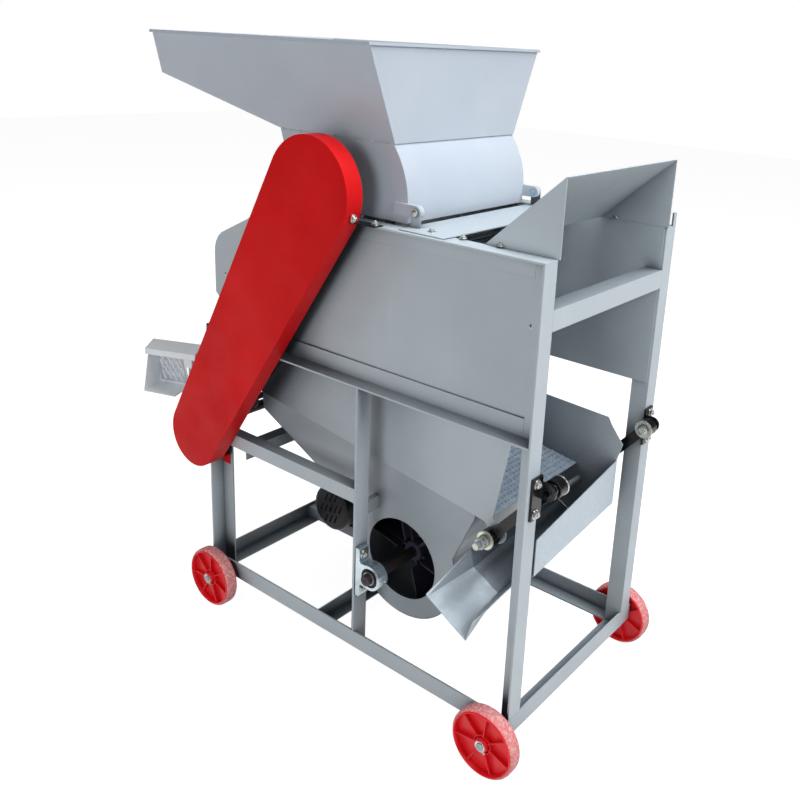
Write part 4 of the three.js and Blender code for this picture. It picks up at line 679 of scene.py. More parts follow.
def drum_cover():
    c = COVER
    throat, inset = c["throat"], c["inset"]
    right, left = drum_arcs()
    notch = [(ROTOR_X - c["notch"], c["bottom"])]
    notch += list(reversed(circle(ROTOR_X, ROTOR_Z, c["notch"], 0, 180, 20)))
    notch += [(ROTOR_X + c["notch"], c["bottom"])]
    outline = right + left + notch
    tab = [(HINGE_X - c["tab"], HINGE_Z - c["lug"])] + circle(HINGE_X, HINGE_Z, c["lug"], -90, 90, 16)
    tab += [(HINGE_X - c["tab"], HINGE_Z + c["lug"])]
    bore = circle(HINGE_X, HINGE_Z, c["bore"], steps=20)
    lip_left, lip_right = (ROTOR_X + x for x in c["lip"])
    gusset = [(lip_left, throat), (lip_left, throat - SHEET)]
    gusset += [(ROTOR_X + c["gusset_foot"][0], c["gusset_foot"][1]), (lip_right, throat)]
    parts = []
    for side in SIDES:
        parts.append(plate(outline, [], from_side(side, inset), from_side(side, inset + SHEET)))
        parts.append(plate(tab, [bore], from_side(side, c["tab_inset"]), from_side(side, inset + SHEET)))
    sheet_inset = inset + SHEET + SEEN_GAP
    parts += [wrapped(line, sheet_inset, FRAME_WIDTH - sheet_inset, SHEET) for line in (right, left)]
    parts.append(box((lip_left, lip_right), (inset, FRAME_WIDTH - inset), (throat - SHEET, throat)))
    for side in SIDES:
        parts.append(prism(gusset, from_side(side, inset), from_side(side, inset + SHEET)))
    stand_for(solid("drum_cover_look", parts, [HOPPER], "cover", bevel=c["edge"]), "drum_cover")


drum_cover()

# Fan housing: round drum that opens into a wide duct, drawn in toward the bottom, on a foot and two lugs
FAN = {"radius": 152, "lead": 3.7, "centre_z": 203, "top_inset": 98, "bottom_inset": 112, "inlet": 98,
       "mouth_left": 84, "left_drop": 46, "mouth_right": 740, "right_drop": 12, "above": 6,
       "right_turn": 20, "left_turn": 154, "ridge_end": (786, 385), "slope": 0.13,
       "foot": (104, 137), "foot_half": 40, "foot_z": 370.3, "foot_wall": 3, "foot_drop": 42,
       "lug": (456, 471), "lug_z": (300, 330), "lug_inset": 108}


def ridge(x):
    """Height of the duct's upper edge, which follows the slope of the sieve."""
    end_x, end_z = FAN["ridge_end"]
    return end_z + FAN["slope"] * (end_x - x)


def drawn_in(part):
    """The part with its Y drawn toward the middle as it goes down."""
    f = FAN
    points, faces, look = part
    top, bottom = ridge(f["mouth_left"]), f["centre_z"] - f["radius"]
    most = (f["bottom_inset"] - f["top_inset"]) / (MIDDLE_Y - f["top_inset"])

    def inward(x, y, z):
        share = 1 - most * (top - z) / (top - bottom)
        return x, MIDDLE_Y + (y - MIDDLE_Y) * share, z

    return [inward(*point) for point in points], faces, look


def fan_housing():
    f = FAN
    left, right = f["mouth_left"], f["mouth_right"]
    line = [(left, ridge(left) + f["above"]), (left, ridge(left) - f["left_drop"])]
    line += circle(FAN_X + f["lead"], f["centre_z"], f["radius"], f["left_turn"], 360 + f["right_turn"], 72)
    line += [(right, ridge(right) - f["right_drop"]), (right, ridge(right) + f["above"])]
    inlet = circle(FAN_X, FAN_Z, f["inlet"], steps=72)
    parts = [drawn_in(wrapped(line, f["top_inset"], FRAME_WIDTH - f["top_inset"], SHEET))]
    for side in SIDES:
        wall_y = [from_side(side, f["top_inset"] + depth) for depth in (0, SHEET)]
        lug_y = sorted(from_side(side, inset) for inset in (ANGLE_LEG + SEAT, f["lug_inset"]))
        parts.append(drawn_in(plate(line, [inlet], *wall_y)))
        parts.append(box(f["lug"], lug_y, f["lug_z"]))
    foot_x, foot_z, wall = f["foot"][0], f["foot_z"], f["foot_wall"]
    foot_y = (MIDDLE_Y - f["foot_half"], MIDDLE_Y + f["foot_half"])
    parts.append(box(f["foot"], foot_y, (foot_z, foot_z + wall)))
    parts.append(box((foot_x, foot_x + wall), foot_y, (foot_z, ridge(foot_x) - f["foot_drop"])))
    stand_for(solid("fan_housing_look", parts, [HOUSING], "frame"), "fan_housing")


fan_housing()

# Fan: a shaft whose end carries a black disc as painted shade for its centre hole, two hubs with arms, and
# six blades
BLADES = {"tip": 126, "root": 34, "wall": 3, "inset": 132, "count": 6, "hub": 24, "hub_length": 30,
          "hub_chamfer": 2, "arm": 9, "arm_reach": 101, "shaft_ends": (-12, 558), "shaft_chamfer": 1.4,
          "centre_hole_shade_share": 0.55, "centre_hole_shade_depth": 2, "centre_hole_shade_chamfer": 0.3, "turn": 14, "edge": 0.5}


def fan_rotor():
    b = BLADES
    near, far = b["shaft_ends"]
    bore = FAN_SHAFT * b["centre_hole_shade_share"]
    inset, wall, length = b["inset"], b["wall"], b["hub_length"]
    # The black disc on the shaft's near end is painted shade for its centre hole.
    parts = [rod(0, 0, FAN_SHAFT, near, far, b["shaft_chamfer"]),
             rod(0, 0, bore, near - SEEN_GAP, near + b["centre_hole_shade_depth"], b["centre_hole_shade_chamfer"], 32, 1)]
    hubs = [inset + length, FRAME_WIDTH - inset - length]
    for y in hubs:
        parts.append(rod(0, 0, b["hub"], y - length / 2, y + length / 2, b["hub_chamfer"], look=1))
    for i in range(b["count"]):
        turn = 360 / b["count"] * i
        blade = box((b["root"], b["tip"]), (inset, FRAME_WIDTH - inset), (0, wall), 1)
        parts.append(placed(blade, 0, 0, 0, turn))
        for y in hubs:
            arm = box((0, b["arm_reach"]), (y - b["arm"], y + b["arm"]), (-wall, wall / 2), 1)
            parts.append(placed(arm, 0, 0, 0, turn))
    parts = [placed(part, FAN_X, 0, FAN_Z, b["turn"]) for part in parts]
    stand_for(solid("fan_rotor_look", parts, [SHAFT_DARK, FAN_BLACK], "fan", bevel=b["edge"]), "fan_rotor")


fan_rotor()

# Pillow block bearings: cast body, black seal, inner ring, two bolts on the foot and a grease nipple
PILLOW = {"boss_share": 0.9, "chamfer": 3, "boss_rise": 5, "dome_turns": (-8, 188), "ring_wall": 3.2,
          "seal_depth": 2.5, "seal_chamfer": 0.6, "ring_chamfer": 0.8, "bolt_inset": 17, "bolt_share": 0.95,
          "nipple": 2.6, "nipple_height": 7, "nipple_chamfer": 0.8, "nipple_sunk": 1, "edge": 1.6}
ROTOR_BLOCK = {"height": 36, "shaft": ROTOR_SHAFT, "width": 28, "foot": 120, "foot_height": 13,
               "dome": 30, "seal": 21, "ring_width": 34, "inset": 18}
ECCENTRIC_BLOCK = {"height": 28, "shaft": ECCENTRIC_SHAFT, "width": 26, "foot": 92, "foot_height": 10,
                   "dome": 25, "seal": 18, "ring_width": 32, "inset": 20}
FAN_BLOCK = {"height": 42, "shaft": FAN_SHAFT, "width": 28, "foot": 118, "foot_height": 13,
             "dome": 29, "seal": 22.5, "ring_width": 34, "inset": 16}


def pillow(node, block, side, x, z, degrees, cast):
    """Bearing with its foot at x and z, turned about Y to face away from what carries it."""
    p = PILLOW
    height, crown, shaft = block["height"], block["dome"], block["shaft"]
    foot, foot_top, chamfer = block["foot"] / 2, block["foot_height"], p["chamfer"]
    half, boss = block["width"] / 2, crown * p["boss_share"]
    flank = [(foot, foot_top - chamfer), (foot - chamfer, foot_top),
             (boss + chamfer, foot_top), (boss, foot_top + p["boss_rise"])]
    outline = [(-foot, 0), (foot, 0)] + flank + circle(0, height, crown, *p["dome_turns"], 36)
    outline += [(-px, pz) for px, pz in reversed(flank)]
    bore = circle(0, height, block["seal"], steps=48)
    ring_half, ring_radius = block["ring_width"] / 2, shaft + p["ring_wall"]
    seal_half = half - p["seal_depth"]
    parts = [plate(outline, [bore], -half, half),
             tube(0, height, ring_radius, block["seal"], -seal_half, seal_half, p["seal_chamfer"], 48, 1),
             tube(0, height, shaft + SEAT, ring_radius, -ring_half, ring_half, p["ring_chamfer"], 48, 3)]
    for way in (-1, 1):
        parts += bolt("z", (way * (foot - p["bolt_inset"]), 0, foot_top), 1, p["bolt_share"], 2)
    nipple = rod(0, 0, p["nipple"], 0, p["nipple_height"], p["nipple_chamfer"], 16, 2)
    parts.append(facing(nipple, "z", (0, 0, height + crown - p["nipple_sunk"])))
    parts = [placed(part, x, from_side(side, block["inset"]), z, degrees) for part in parts]
    looks = [cast, RUBBER, ZINC, STEEL]
    stand_for(solid(f"{node}_look", parts, looks, BODY_OF[node], bevel=p["edge"]), node)


fan_seat = FAN_X - FAN_BLOCK["height"]
for block_side in SIDES:
    pillow(f"rotor_bearing_{block_side}", ROTOR_BLOCK, block_side, ROTOR_X, FRAME_TOP + SEAT, 0, CAST)
    pillow(f"eccentric_bearing_{block_side}", ECCENTRIC_BLOCK, block_side, -SEAT, ECCENTRIC_Z, -90, BLACK)
    pillow(f"fan_bearing_{block_side}", FAN_BLOCK, block_side, fan_seat, FAN_Z, 90, CAST)

# Swing arms, the brackets that carry them, and the nuts on the sieve's lower pins
ARM = {"reach_x": 140, "reach_z": 162, "inset": 56, "width": 24, "eye": 19, "pin": 8, "bar": 11,
       "bar_half": 6, "bush": 14, "bush_sunk": 0.8, "sleeve_wall": 3.5, "washer": 20, "washer_thickness": 4,
       "nut": 13, "gap": 0.5, "chamfers": (1, 0.8, 0.4), "edge": 0.9}


def arm_spot(end, side):
    """X and Z of the joint that an arm swings about."""
    x, _, z = JOINT_SPOTS["arm_swing" if (end, side) == ("right", "near") else f"arm_swing_{end}_{side}"]
    return x, z


def swing_arm(end, side):
    a = ARM
    x, z = arm_spot(end, side)
    low = (x - a["reach_x"], z - a["reach_z"])
    half = a["width"] / 2
    y = from_side(side, a["inset"] + half)
    length = math.hypot(a["reach_x"], a["reach_z"])
    sx, sz = -a["reach_z"] / length * a["bar"], a["reach_x"] / length * a["bar"]
    bar = [(x + sx, z + sz), (x - sx, z - sz), (low[0] - sx, low[1] - sz), (low[0] + sx, low[1] + sz)]
    sleeve, bush_half = a["pin"] + a["sleeve_wall"], half - a["bush_sunk"]
    rings = ((a["bush"], a["eye"], half), (sleeve, a["bush"], bush_half), (a["pin"] + a["gap"], sleeve, half))
    parts = [prism(bar, y - a["bar_half"], y + a["bar_half"])]
    for eye in ((x, z), low):
        for look, ((inner, outer, reach), chamfer) in enumerate(zip(rings, a["chamfers"])):
            parts.append(tube(*eye, inner, outer, y - reach, y + reach, chamfer, 48, look))
    node = f"swing_arm_{end}_{side}"
    stand_for(solid(f"{node}_look", parts, [BLACK, RUBBER, ZINC], BODY_OF[node], bevel=a["edge"]), node)


BRACKET = {"ear": 5, "ear_radius": 17, "plate": 5, "low": 55, "high": 30, "foot_inset": 12,
           "foot_half": 26, "nut": 6, "pin_past": 1, "head": 9, "head_out": 3, "head_chamfer": 1,
           "shoulder": 12, "plate_bolt_inset": 13, "plate_bolt_margin": 12, "plate_bolt_share": 0.95,
           "foot_bolt_inset": 11, "foot_bolt_margin": 7, "foot_bolt_share": 0.8, "edge": 0.8}


def bracket(end, side):
    a, b = ARM, BRACKET
    x, z = arm_spot(end, side)
    ear, past = ANGLE_LEG + SEAT, a["inset"] + a["width"] + a["gap"]
    nut = past + a["washer_thickness"]
    pin_start = ear + b["pin_past"]
    parts = [rod(x, z, a["pin"], *spans(side, pin_start, nut + b["nut"] + b["pin_past"]), look=1),
             rod(x, z, b["head"], *spans(side, ear - b["head_out"], pin_start), b["head_chamfer"]),
             rod(x, z, b["shoulder"], *spans(side, pin_start, a["inset"] - a["gap"])),
             tube(x, z, a["pin"], a["washer"], *spans(side, past, nut), look=1),
             hexagon(x, z, a["nut"], *spans(side, nut, nut + b["nut"]), 1)]
    radius, inset = b["ear_radius"], b["foot_inset"]
    if end == "right":
        face = FRAME_LENGTH + SEAT
        outline = [(face, z - radius)] + circle(x, z, radius, -90, 90, 24) + [(face, z + radius)]
        parts.append(plate(outline, [], *spans(side, ear, ear + b["ear"])))
        outer = face + b["plate"]
        parts.append(box((face, outer), spans(side, inset, ear + b["ear"]), (z - b["low"], z + b["high"])))
        bolt_y, margin = from_side(side, inset + b["plate_bolt_inset"]), b["plate_bolt_margin"]
        for bolt_z in (z + b["high"] - margin, z - b["low"] + margin):
            parts += bolt("x", (outer, bolt_y, bolt_z), 1, b["plate_bolt_share"], 1)
    else:
        face = CASING_BOTTOM - SEAT
        outline = [(x - radius, face)] + circle(x, z, radius, 180, 360, 24) + [(x + radius, face)]
        parts.append(plate(outline, [], *spans(side, ear - b["plate"], ear + b["ear"])))
        outer, half = face - b["plate"], b["foot_half"]
        parts.append(box((x - half, x + half), spans(side, inset, ear), (outer, face)))
        bolt_y, reach = from_side(side, inset + b["foot_bolt_inset"]), half - b["foot_bolt_margin"]
        for bolt_x in (x - reach, x + reach):
            parts += bolt("z", (bolt_x, bolt_y, outer), -1, b["foot_bolt_share"], 1)
    node = f"pivot_bracket_{end}_{side}"
    stand_for(solid(f"{node}_look", parts, [BLACK, ZINC], "frame", bevel=b["edge"]), node)


LOWER_PIN = {"washer_chamfer": 0.8, "nut": 9, "nut_pitch": 10, "nut_turn": 10, "thread_start": 19,
             "threads": 8, "pitch": 1.4, "root": 0.9, "end": 1.5, "end_length": 0.9, "edge": 0.4}


def lower_pin(end, side):
    """Washer over the sieve's plain pin, and at the right end two nuts and the thread end."""
    a, p = ARM, LOWER_PIN
    x, z = arm_spot(end, side)
    x, z = x - a["reach_x"], z - a["reach_z"]
    start = a["inset"] - a["gap"]
    face = start - a["washer_thickness"]
    washer, nut = a["washer"] + SEEN_GAP, a["nut"] + SEEN_GAP
    parts = [rod(x, z, washer, *spans(side, face - SEEN_GAP, start), p["washer_chamfer"], 48)]
    if end == "right":
        for first in (face, face - p["nut_pitch"]):
            nut_y = spans(side, first, first - p["nut"] - SEEN_GAP)
            parts.append(hexagon(x, z, nut, *nut_y, 0, p["nut_turn"]))
        thread = [(CENTRE_RADIUS, 0.0)]
        pitch, crest, root = p["pitch"], a["pin"] + SEEN_GAP, a["pin"] - p["root"]
        for turn in range(p["threads"]):
            thread += [(crest, pitch * (turn + 0.5)), (root, pitch * (turn + 1))]
        tip = pitch * p["threads"] + p["end_length"]
        thread += [(a["pin"] - p["end"], tip), (CENTRE_RADIUS, tip)]
        base, out = from_side(side, face - p["thread_start"]), -SIDES[side]
        parts.append(turned(x, z, [(radius, base + out * way) for radius, way in thread], 32))
    solid(f"lower_pin_{end}_{side}", parts, [ZINC_YELLOW], "sieve", bevel=p["edge"])


for arm_end in ("left", "right"):
    for arm_side in SIDES:
        swing_arm(arm_end, arm_side)
        bracket(arm_end, arm_side)
        lower_pin(arm_end, arm_side)

# Pulleys and belts. Each pulley is listed by its axis and its radius.
PULLEY = {"hub_wall": 8, "rim_wall": 13, "web_depth": 3, "web_slope": 1, "chamfer": 0.8}
GROOVE = {"depth": 10, "top": 7.5, "bottom": 5.6, "shoulder": 4.5}
BELT = {"sunk": 0.6, "thickness": 8, "half": 5}
SIEVE_BELT_Y = -26.0
DRIVE_BELT_Y = FRAME_WIDTH + 14.0
FAN_BELT_Y = FRAME_WIDTH + 34.0
ROTOR_NEAR = (ROTOR_X, ROTOR_Z, 88.0)
ROTOR_FAR = (ROTOR_X, ROTOR_Z, 112.0)
ECCENTRIC_WHEEL = (ECCENTRIC_X, ECCENTRIC_Z, 42.0)
MOTOR_WHEEL = (MOTOR_X, MOTOR_Z, 40.0)
FAN_WHEEL = (FAN_X, FAN_Z, 55.0)


def pulley(node, spot, bore, places):
    """Pulley with a groove at each place along Y."""
    x, z, radius = spot
    p, g = PULLEY, GROOVE
    hub, rim = bore + p["hub_wall"], radius - p["rim_wall"]
    web, slope, chamfer = p["web_depth"], p["web_slope"], p["chamfer"]
    end_line = [(bore + SEAT, 0), (hub, 0), (hub + slope, web), (rim - slope, web), (rim, 0),
                (radius - chamfer, 0), (radius, chamfer)]
    margin = g["top"] + g["shoulder"]
    profile = [(wide, places[0] - margin + depth) for wide, depth in end_line]
    for y in places:
        profile += [(radius, y - g["top"]), (radius - g["depth"], y - g["bottom"]),
                    (radius - g["depth"], y + g["bottom"]), (radius, y + g["top"])]
    profile += [(wide, places[-1] + margin - depth) for wide, depth in reversed(end_line)]
    stand_for(solid(f"{node}_look", [turned(x, z, profile, 72)], [STEEL], BODY_OF[node]), node)


def v_belt(node, first, second, y):
    sunk, deep = -BELT["sunk"], -BELT["sunk"] - BELT["thickness"]
    outer = loop_outline(grown(first, sunk), grown(second, sunk))
    inner = loop_outline(grown(first, deep), grown(second, deep))
    parts = [ring_plate(outer, inner, y - BELT["half"], y + BELT["half"])]
    stand_for(solid(f"{node}_look", parts, [RUBBER], "frame"), node)


pulley("rotor_pulley_near", ROTOR_NEAR, ROTOR_SHAFT, [SIEVE_BELT_Y])
pulley("rotor_pulley_far", ROTOR_FAR, ROTOR_SHAFT, [DRIVE_BELT_Y])
pulley("eccentric_pulley", ECCENTRIC_WHEEL, ECCENTRIC_SHAFT, [SIEVE_BELT_Y])
pulley("fan_pulley", FAN_WHEEL, FAN_SHAFT, [FAN_BELT_Y])
pulley("motor_pulley", MOTOR_WHEEL, MOTOR_SHAFT, [DRIVE_BELT_Y, FAN_BELT_Y])
v_belt("sieve_belt", ROTOR_NEAR, ECCENTRIC_WHEEL, SIEVE_BELT_Y)
v_belt("drive_belt", ROTOR_FAR, MOTOR_WHEEL, DRIVE_BELT_Y)
v_belt("fan_belt", FAN_WHEEL, MOTOR_WHEEL, FAN_BELT_Y)

# Eccentric shaft with its cam
CAM = {"radius": 22, "throw": 5, "half": 10, "shaft_ends": (-42, 512), "chamfer": 1.2}


def eccentric_shaft():
    c = CAM
    cam_y = (MIDDLE_Y - c["half"], MIDDLE_Y + c["half"])
    parts = [rod(ECCENTRIC_X, ECCENTRIC_Z, ECCENTRIC_SHAFT, *c["shaft_ends"], c["chamfer"]),
             rod(ECCENTRIC_X, ECCENTRIC_Z + c["throw"], c["radius"], *cam_y, c["chamfer"], 48)]
    stand_for(solid("eccentric_shaft_look", parts, [DARK_STEEL], "eccentric"), "eccentric_shaft")


eccentric_shaft()

# Casing end: one bent sheet that steps out, with a round shoulder and a slope up to the top plate
END_SHEET = {"bulge": 11, "step": (709, 719), "shoulder": 817, "radius": 60, "slope": (-275, 912),
             "top": -193}


def casing_end():
    e = END_SHEET
    bulge, radius = e["bulge"], e["radius"]
    line = [(0, CASING_BOTTOM + SHEET), (0, e["step"][0]), (-bulge, e["step"][1])]
    line += circle(radius - bulge, e["shoulder"], radius, 180, 125, 20)
    line += [(ROTOR_X + e["slope"][0], e["slope"][1]), (ROTOR_X + e["top"], FRAME_TOP - ANGLE_WALL - SEAT)]
    inset = ANGLE_LEG + SEAT + SHEET + SEAT
    sheet = wrapped(offset_line(line, -SHEET), inset, FRAME_WIDTH - inset, -SHEET)
    stand_for(solid("casing_end_look", [sheet], [SILVER], "frame", smooth_angle=20), "casing_end_sheet")


casing_end()

# Motor: slotted fan cowl with a black disc behind the slots as painted shade, finned body, flange, feet and
# terminal box
# The dark disc behind the cowl's slots is painted shade inside the cowl.
MOTOR = {"cowl": 270, "cowl_length": 34, "radius": 63, "face": 54, "bevel": 5.4, "body": 53, "end": 482,
         "lap": 2, "grille": (1, 1.5), "dark": (5, 7), "ring": (9, 24), "ring_depth": (3, 5),
         "lip": (1.5, 1), "corner": 2, "wall": 3, "flange": 57, "flange_length": 12,
         "flange_chamfer": 1.5, "shaft_end": 562, "shaft_chamfer": 1, "fins": 36, "fin": 60,
         "foot_half": 56, "foot_z": 34.3, "foot_height": 8, "foot_length": 26, "feet": (325, 435),
         "bolt_inset": 12, "bolt_share": 0.8, "edge": 0.6}
SLOT = {"length": 25, "width": 5, "pitch": 17, "row": 31, "rise": 3, "lean": 24}
FIN_SHARES = {"root": 0.28, "tip": 0.16}
TERMINAL_BOX = {"x": (176.5, 237), "half_width": 30, "half_height": 23, "lid": (6, 4), "lid_lap": 1.5}


def cowl_slots():
    """Leaning slots in the cowl's face, left out at its corners."""
    s = SLOT
    lean = math.radians(s["lean"])
    along = (math.sin(lean) * s["length"] / 2, math.cos(lean) * s["length"] / 2)
    across = (math.cos(lean) * s["width"] / 2, -math.sin(lean) * s["width"] / 2)
    slots = []
    for column in range(-2, 3):
        for row in (-1, 0, 1):
            if abs(column) == 2 and row:
                continue
            x = MOTOR_X + column * s["pitch"]
            z = MOTOR_Z + row * s["row"] + column * s["rise"]
            slots.append([(x + i * along[0] + j * across[0], z + i * along[1] + j * across[1])
                          for i, j in ((-1, -1), (1, -1), (1, 1), (-1, 1))])
    return slots


def motor():
    m, t = MOTOR, TERMINAL_BOX
    axis = (MOTOR_X, MOTOR_Z)
    cowl, end, body_end = m["cowl"], m["cowl"] + m["cowl_length"], m["end"]
    face, radius, lap = m["face"], m["radius"], m["lap"]
    inset, grille = m["grille"]
    lip_in, lip_out = m["lip"]
    ring_y = [cowl + depth for depth in m["ring_depth"]]
    painted_shade_disc_y = [cowl + depth for depth in m["dark"]]
    shell = radius - m["wall"]
    cowl_line = [(face - lip_in, cowl), (face + lip_out, cowl), (radius - m["corner"], cowl + m["corner"]),
                 (radius, cowl + m["bevel"]), (radius, end), (shell, end), (shell, painted_shade_disc_y[1]),
                 (face - lip_in, painted_shade_disc_y[1])]
    # The black disc behind the slots is painted shade inside the cowl.
    parts = [plate(circle(*axis, face - inset), cowl_slots(), cowl, cowl + grille),
             rod(*axis, face - inset, *painted_shade_disc_y, look=1), tube(*axis, *m["ring"], *ring_y),
             turned(*axis, cowl_line, 72)]
    star = []
    for i in range(m["fins"]):
        root, tip = FIN_SHARES["root"], FIN_SHARES["tip"]
        for share, reach in ((-root, m["body"]), (-tip, m["fin"]), (tip, m["fin"]), (root, m["body"])):
            turn = math.radians(360 / m["fins"] * (i + share))
            star.append((MOTOR_X + reach * math.cos(turn), MOTOR_Z + reach * math.sin(turn)))
    parts.append(plate(star, [], end - lap, body_end))
    flange_y = (body_end - lap, body_end + m["flange_length"])
    parts.append(rod(*axis, m["flange"], *flange_y, m["flange_chamfer"], 64))
    parts.append(rod(*axis, MOTOR_SHAFT, body_end, m["shaft_end"], m["shaft_chamfer"], 32, 2))
    foot_z, half = m["foot_z"], m["foot_half"]
    foot_top = foot_z + m["foot_height"]
    for y in m["feet"]:
        y_span = (y, y + m["foot_length"])
        parts.append(box((MOTOR_X - half, MOTOR_X + half), y_span, (foot_z, foot_top)))
        parts.append(box((MOTOR_X - half / 2, MOTOR_X + half / 2), y_span, (foot_z, MOTOR_Z - m["body"] / 2)))
        for way in (-1, 1):
            spot = (MOTOR_X + way * (half - m["bolt_inset"]), y + m["foot_length"] / 2, foot_top)
            parts += bolt("z", spot, 1, m["bolt_share"], 2)
    middle, lid = (end + body_end) / 2, [t["x"][1] - depth for depth in t["lid"]]
    for x_span, lap in ((t["x"], 0.0), (lid, t["lid_lap"])):
        width, height = t["half_width"] + lap, t["half_height"] + lap
        parts.append(box(x_span, (middle - width, middle + width), (MOTOR_Z - height, MOTOR_Z + height)))
    stand_for(solid("motor_look", parts, [MOTOR_BLACK, RUBBER, ZINC], "frame", bevel=m["edge"]), "motor")


motor()

# Hinge: hexagon heads of the two bolts, over the lugs
HINGE = {"lug_inset": 44, "head": 8, "height": 5, "edge": 0.3}
for hinge_side in SIDES:
    seat_inset = HINGE["lug_inset"] - SEAT
    head_y = spans(hinge_side, seat_inset, seat_inset - HINGE["height"] - SEEN_GAP)
    head = hexagon(HINGE_X, HINGE_Z, HINGE["head"] + SEEN_GAP, *head_y)
    solid(f"hinge_end_{hinge_side}", [head], [ZINC], "frame", bevel=HINGE["edge"])

# Weld spots along the hopper's foot, and rivets on the casing
WELDS = {"left": 216, "right": 520, "count": 7, "radius": 4.2, "height": 1.6, "z": 1122.2}
RIVETS = {"places": ((876, 840), (27, 768), (884, 955), (30, 655)), "radius": 4.5, "height": 2.2}


def beads(name, places, inset, sizes, look, body):
    """Round beads at (x, z) places on the near and far faces."""
    parts = []
    for x, z in places:
        for side in SIDES:
            spot = (x, from_side(side, inset), z)
            parts.append(dome(spot, sizes["radius"], sizes["height"], "y", -SIDES[side]))
    solid(name, parts, [look], body)


weld_pitch = (WELDS["right"] - WELDS["left"]) / (WELDS["count"] - 1)
weld_places = [(WELDS["left"] + weld_pitch * i, WELDS["z"]) for i in range(WELDS["count"])]
beads("hopper_welds", weld_places, COVER["inset"], WELDS, HOPPER, "cover")
beads("casing_rivets", RIVETS["places"], ANGLE_LEG + SEAT, RIVETS, ZINC, "frame")

# Raised strokes on a thin panel, on the chute's back wall. The strokes are near white as painted highlights;
# the panel is a darker sheet colour behind them.
CHUTE = {"left": -240, "fold": (28, 431), "top": (6, 553), "tilt": 0.165, "mouth": -123,
         "margin": 14, "panel_past": 8}
STROKES = {"rows": 3, "columns": 8, "first": 34, "length": 28, "half": 3.6, "proud": 3.8, "panel": 1.2,
           "sunk": 0.4, "wander": 1.5, "slope": 5, "lean": 6, "low_share": 0.08, "row_share": 0.26,
           "stagger_share": 0.10, "top_share": 0.45}
STROKE_FACES = [(0, 2, 3, 1), (2, 4, 5, 3), (4, 6, 7, 5), (6, 0, 1, 7), (0, 2, 4, 6), (1, 3, 5, 7)]
CHUTE_RISE = Vector(CHUTE["top"]) - Vector(CHUTE["fold"])


def on_chute(x, reach, out):
    """A place on the back wall, so far up from its fold and so far out from its face."""
    c = CHUTE
    rise = CHUTE_RISE.normalized()
    y = c["fold"][0] + rise.x * reach - rise.y * out
    z = c["fold"][1] + rise.y * reach + rise.x * out + c["tilt"] * (x - c["left"])
    return x, y, z


def stroke(x, along):
    """One stroke: narrower at its top, with sloping ends, and leaning sideways."""
    s = STROKES
    corners = []
    for way, high in ((-1, False), (1, False), (1, True), (-1, True)):
        for end in (0, 1):
            half, out, reach = s["half"], SHEET - s["sunk"], along + s["length"] * end
            if high:
                half, out = half * s["top_share"], SHEET + s["proud"]
                reach = along + s["slope"] / 2 + (s["length"] - s["slope"]) * end
            corners.append(on_chute(x + way * half + (0.5 - end) * s["lean"], reach, out))
    return corners, STROKE_FACES, 0


def chute_strokes():
    c, s = CHUTE, STROKES
    length, first = CHUTE_RISE.length, c["left"] + s["first"]
    parts = []
    for row in range(s["rows"]):
        for column in range(s["columns"]):
            wander = s["wander"] * math.sin(7.3 * column + 3.1 * row)
            share = s["low_share"] + s["row_share"] * row + (s["stagger_share"] if column % 2 else 0.0)
            x = first + (c["mouth"] - first) * column / (s["columns"] - 1)
            parts.append(stroke(x + wander, length * share + wander))
    margin = c["margin"]
    panel = [on_chute(x, reach, out) for out in (SHEET - s["sunk"], SHEET + s["panel"])
             for x in (c["left"] + margin, c["mouth"] + c["panel_past"])
             for reach in (margin / 2, length - margin / 2)]
    parts.append((panel, BOX_FACES, 1))
    # The strokes' near white is painted highlight.
    solid("chute_strokes", parts, [STROKE_PAINTED_HIGHLIGHT, CHUTE_SHADE], "sieve", smooth_angle=60)


chute_strokes()

# Sieve deck: a sloping sheet covered with small raised scales
DECK_SIZES = {"left": -58, "right": 792, "inset": 94.3, "rise": 24, "rows": 62, "columns": 27, "margin": 9,
              "scale": 11, "half": 4.6, "height": 3.2, "steps": 4, "sunk": 0.2, "stagger_share": 0.25}


def sieve_deck():
    d = DECK_SIZES
    left, right, scale = d["left"], d["right"], d["scale"]
    near, far = d["inset"], FRAME_WIDTH - d["inset"]

    def level(x):
        return ridge(x) + d["rise"]

    outline = [(left, level(left)), (right, level(right)),
               (right, level(right) + SHEET), (left, level(left) + SHEET)]
    parts = [prism(outline, near, far)]
    turns = [math.pi * i / d["steps"] for i in range(d["steps"] + 1)]
    tip = len(turns)
    faces = [(tip, i, i + 1) for i in range(d["steps"])] + [tuple(range(tip)), (0, tip - 1, tip)]
    for row in range(d["rows"]):
        x = left + d["margin"] + (right - left - 2 * d["margin"] - scale) * row / (d["rows"] - 1)
        z = level(x) + SHEET - d["sunk"]
        low = z - scale * FAN["slope"]
        stagger = d["stagger_share"] if row % 2 else -d["stagger_share"]
        for column in range(d["columns"]):
            y = near + (far - near) * (column + 0.5 + stagger) / d["columns"]
            lip = [(x + scale, y + d["half"] * math.cos(t), low + d["height"] * math.sin(t)) for t in turns]
            parts.append((lip + [(x, y, z)], faces, 0))
    stand_for(solid("sieve_deck_look", parts, [DECK], "sieve", smooth_angle=20), "sieve_deck")


sieve_deck()

# Bolts along the foot of the hood
HOOD_BOLTS = {"places": (641, 716, 800), "inset": 40, "rise": 2.5, "share": 0.7}
hood_parts = []
for bolt_x in HOOD_BOLTS["places"]:
    for bolt_side in SIDES:
        bolt_spot = (bolt_x, from_side(bolt_side, HOOD_BOLTS["inset"]), FRAME_TOP + HOOD_BOLTS["rise"])
        hood_parts += bolt("z", bolt_spot, 1, HOOD_BOLTS["share"])
solid("hood_bolts", hood_parts, [ZINC], "frame")

